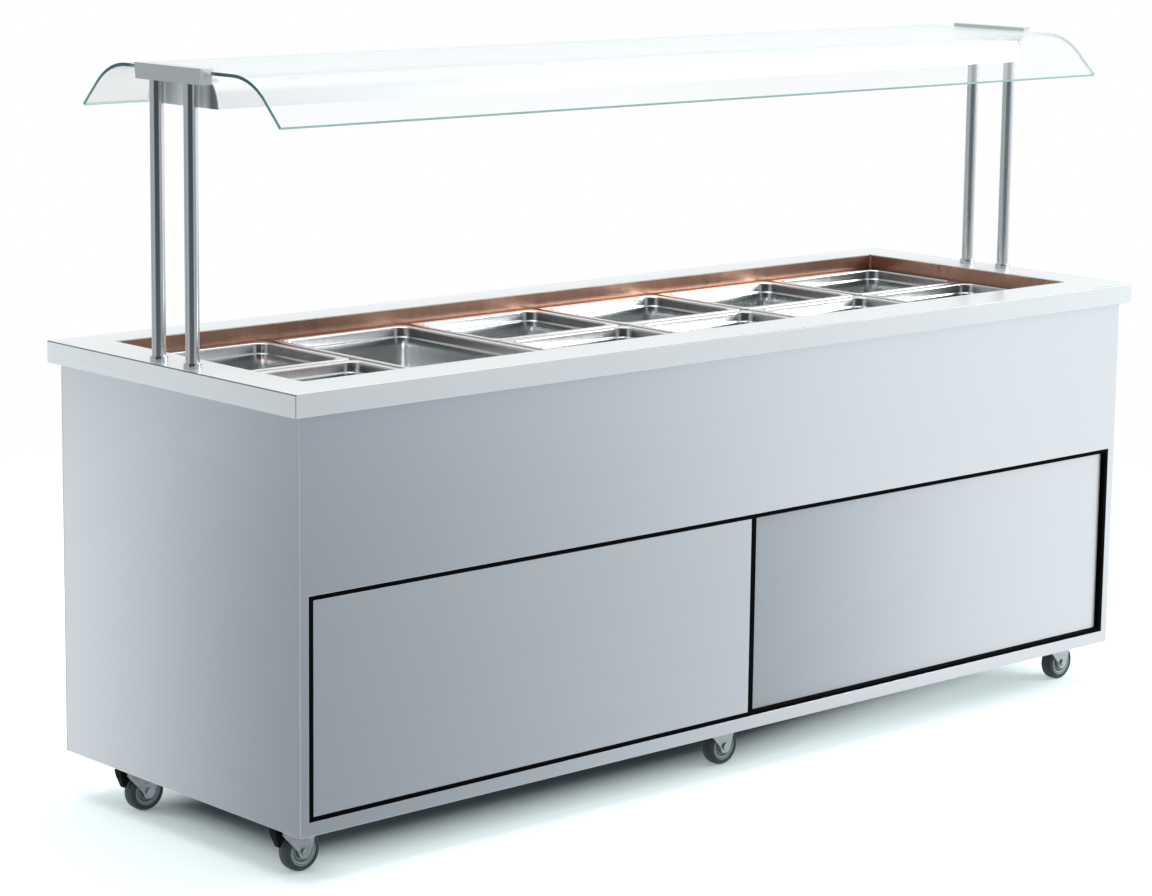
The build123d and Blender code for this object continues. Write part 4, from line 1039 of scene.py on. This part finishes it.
# Brushed stainless plate: a shade darker than the sheet round it. Its level lines are drawn
# 1.4 mm apart, coarser than they are.
control_steel = lined_metal("brushed_stainless_plate", "#B4B9BE", "#C8CCD0", (200, 1.43, 1.43), 0.30)
dress("control_panel", control_steel)
dress("control_box", cabinet_steel)
for node in ("heat_switch", "lamp_switch", "thermostat_knob", "cable_gland"):
    dress(node, black_nylon)
# Moulded amber polycarbonate: a glossy orange lens.
amber = moulded("amber_lens", "#D9761B", "#F2A03C", 0.15, 5.0, 0.05)
dress("pilot_lamps", amber)

# Dial marks and switch symbols
# Eleven ticks are screen printed round the knob, which has a pointer line, and each rocker
# has the plain bar and ring that mean on and off.
INK_SUNK = 0.1 * MM
INK_THICK = 0.22 * MM
TICKS = 11
RING_STEPS = 14


def surface_y(node, x, z):
    """Where a line from behind the counter first meets a CAD node."""
    hit, spot, _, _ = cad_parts[node].ray_cast((x, 0.5, z), (0.0, -1.0, 0.0))
    return spot.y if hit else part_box(node)[1].y


def printed(name, node, body, outlines, ink):
    """Flat printed marks on a node's outer face, each a four-sided outline of X and Z."""
    mesh = bpy.data.meshes.new(name)
    form = bmesh.new()
    for outline in outlines:
        under = [form.verts.new((x, surface_y(node, x, z) - INK_SUNK, z)) for x, z in outline]
        over = [form.verts.new((v.co.x, v.co.y + INK_THICK, v.co.z)) for v in under]
        form.faces.new(over)
        form.faces.new(list(reversed(under)))
        for i in range(4):
            j = (i + 1) % 4
            form.faces.new((under[i], under[j], over[j], over[i]))
    bmesh.ops.recalc_face_normals(form, faces=form.faces)
    form.to_mesh(mesh)
    form.free()
    mesh.materials.append(ink)
    marks = bpy.data.objects.new(name, mesh)
    scene.collection.objects.link(marks)
    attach(marks, body)


def bar(x, z, across, up, turn=0.0):
    """The outline of a bar, its width and height in mm, about (x, z) and turned by an angle."""
    c, s = math.cos(turn), math.sin(turn)
    signs = ((-1, -1), (1, -1), (1, 1), (-1, 1))
    corners = [(across / 2 * side, up / 2 * end) for side, end in signs]
    return [(x + (u * c + v * s) * MM, z + (v * c - u * s) * MM) for u, v in corners]


# Dried ink: flat and even, black on the plate and white on the black nylon.
dark_ink = moulded("dark_screen_ink", "#1B1D1F", "#26292B", 0.5, 2.0, 0.02)
white_ink = moulded("white_pad_ink", "#E6E8E8", "#F2F4F4", 0.5, 2.0, 0.02)
low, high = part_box("thermostat_knob")
knob_x, knob_z = (low.x + high.x) / 2, (low.z + high.z) / 2
scale = []
for step in range(TICKS):
    turn = math.radians(-135 + 27 * step)
    reach, tick = (24.6 * MM, 3.2) if step % 5 else (25.4 * MM, 5.0)
    scale.append(bar(knob_x + reach * math.sin(turn), knob_z + reach * math.cos(turn), 0.9, tick, turn))
printed("dial_scale", "control_panel", "counter", scale, dark_ink)
pointer = [bar(knob_x, knob_z + 12.5 * MM, 1.4, 6.5)]
printed("knob_pointer", "thermostat_knob", "knob", pointer, white_ink)
for node, body in (("heat_switch", "heat_rocker"), ("lamp_switch", "lamp_rocker")):
    low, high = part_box(node)
    x, z = (low.x + high.x) / 2, (low.z + high.z) / 2
    on_off = [bar(x, z + 8 * MM, 1.0, 5.0)]
    for step in range(RING_STEPS):
        turn = 2 * math.pi * step / RING_STEPS
        ring_z = z - (8 - 2.1 * math.cos(turn)) * MM
        on_off.append(bar(x + 2.1 * MM * math.sin(turn), ring_z, 1.0, 0.7, turn))
    printed(node + "_marks", node, body, on_off, white_ink)

# Screws and vents on the back
# Button-head socket screws hold the control plate and the back sheet, and louvres pressed
# out of the sheet let the warm air out beside the control box.
SCREW_STEPS = 20
PLATE_SCREW_INSET = 8 * MM
BACK_SCREW_PITCH = 0.35
BACK_SCREW_ROWS = (0.102, 0.808)

# Zinc-plated steel: small, clean highlights, with faint patches of 3 mm.
screw_steel = lined_metal(
    "bright_zinc_screw", "#C6CACC", "#D8DBDC", (3.33, 3.33, 3.33), 0.22, 0.04, 0.02
)
# A button head with its socket: radius and height over the face, in mm.
screw_profile = [
    (3.6, 0.0), (3.6, 0.5), (3.3, 1.3), (2.6, 1.9), (1.7, 2.15), (1.5, 2.1), (1.45, 0.9), (0.2, 0.8)
]


def screws(name, face_y, places):
    """A row of button-head screws on a face that looks along +Y."""
    mesh = bpy.data.meshes.new(name)
    form = bmesh.new()
    for x, z in places:
        rows = []
        for radius, out in screw_profile:
            rows.append([
                form.verts.new((
                    x + radius * MM * math.cos(2 * math.pi * i / SCREW_STEPS), face_y + out * MM,
                    z + radius * MM * math.sin(2 * math.pi * i / SCREW_STEPS),
                ))
                for i in range(SCREW_STEPS)
            ])
        for inner, outer in zip(rows, rows[1:]):
            for i in range(SCREW_STEPS):
                j = (i + 1) % SCREW_STEPS
                form.faces.new((inner[i], inner[j], outer[j], outer[i]))
        form.faces.new(rows[-1])
    bmesh.ops.recalc_face_normals(form, faces=form.faces)
    form.to_mesh(mesh)
    form.free()
    for face in mesh.polygons:
        face.use_smooth = True
    mesh.materials.append(screw_steel)
    row = bpy.data.objects.new(name, mesh)
    scene.collection.objects.link(row)
    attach(row, "counter")


low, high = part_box("control_panel")
screws("plate_screws", high.y, [
    (x, z)
    for x in (low.x + PLATE_SCREW_INSET, high.x - PLATE_SCREW_INSET)
    for z in (low.z + PLATE_SCREW_INSET, high.z - PLATE_SCREW_INSET)
])
back_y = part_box("back_panel")[1].y
screws("back_screws", back_y, [
    (BACK_SCREW_PITCH * i, z) for i in (-3, -2, -1, 0, 1, 2, 3) for z in BACK_SCREW_ROWS
])

# A louvre is a hood that fades into the sheet at both ends, over a black sheet that is
# painted shade for its open mouth. Its section is how far it stands out and its height, in mm.
LOUVRES = 6
LOUVRE_X = 0.500
LOUVRE_LOW = 0.706
LOUVRE_PITCH = 0.016
LOUVRE_WIDTH = 80 * MM
LOUVRE_STEPS = 14
hood_profile = [
    (0.0, 6.0), (1.2, 5.2), (2.7, 3.2), (3.8, 0.6), (4.2, -2.6), (3.6, -2.7), (3.2, 0.4), (2.0, 3.0)
]
hoods = bmesh.new()
for step in range(LOUVRES):
    z0 = LOUVRE_LOW + LOUVRE_PITCH * step
    rows = []
    for i in range(LOUVRE_STEPS + 1):
        s = i / LOUVRE_STEPS
        out = min(1.0, 5.0 * min(s, 1.0 - s))
        out = out * out * (3.0 - 2.0 * out)
        x = LOUVRE_X + (s - 0.5) * LOUVRE_WIDTH
        rows.append([
            hoods.verts.new((x, back_y + (0.05 + y * out) * MM, z0 + z * MM)) for y, z in hood_profile
        ])
    for first, second in zip(rows, rows[1:]):
        for i in range(len(hood_profile) - 1):
            hoods.faces.new((first[i], first[i + 1], second[i + 1], second[i]))
    # The mouth is a black sheet: painted shade where the opening into the cabinet would be dark.
    painted_shade_mouth = [
        hoods.verts.new((LOUVRE_X + dx * MM, back_y + 0.15 * MM, z0 + dz * MM))
        for dx, dz in ((-32, -2.6), (32, -2.6), (32, 4.0), (-32, 4.0))
    ]
    hoods.faces.new(painted_shade_mouth).material_index = 1
bmesh.ops.recalc_face_normals(hoods, faces=[f for f in hoods.faces if f.material_index == 0])
louvre_mesh = bpy.data.meshes.new("back_louvres")
hoods.to_mesh(louvre_mesh)
hoods.free()
louvre_mesh.materials.append(front_steel)
louvre_mesh.materials.append(black_profile)
for face in louvre_mesh.polygons:
    face.use_smooth = face.material_index == 0
louvres = bpy.data.objects.new("back_louvres", louvre_mesh)
scene.collection.objects.link(louvres)
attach(louvres, "counter")

# Drain
# A stainless pipe with a nickel-plated ball valve, and a red lever on the valve's stem.

# Nickel plate: a warm, bright grey in soft patches of 25 mm.
nickel = lined_metal("nickel_plated_valve", "#B5B2AB", "#D0CDC6", (25, 25, 25), 0.24, 0.05)
dress("drain_line", nickel)
# Red powder coat: even, and a little glossy.
lever_coat = moulded("red_powder_coated_lever", "#8E1612", "#A8201A", 0.35, 3.33, 0.1)
dress("drain_lever", lever_coat, 0.0008)
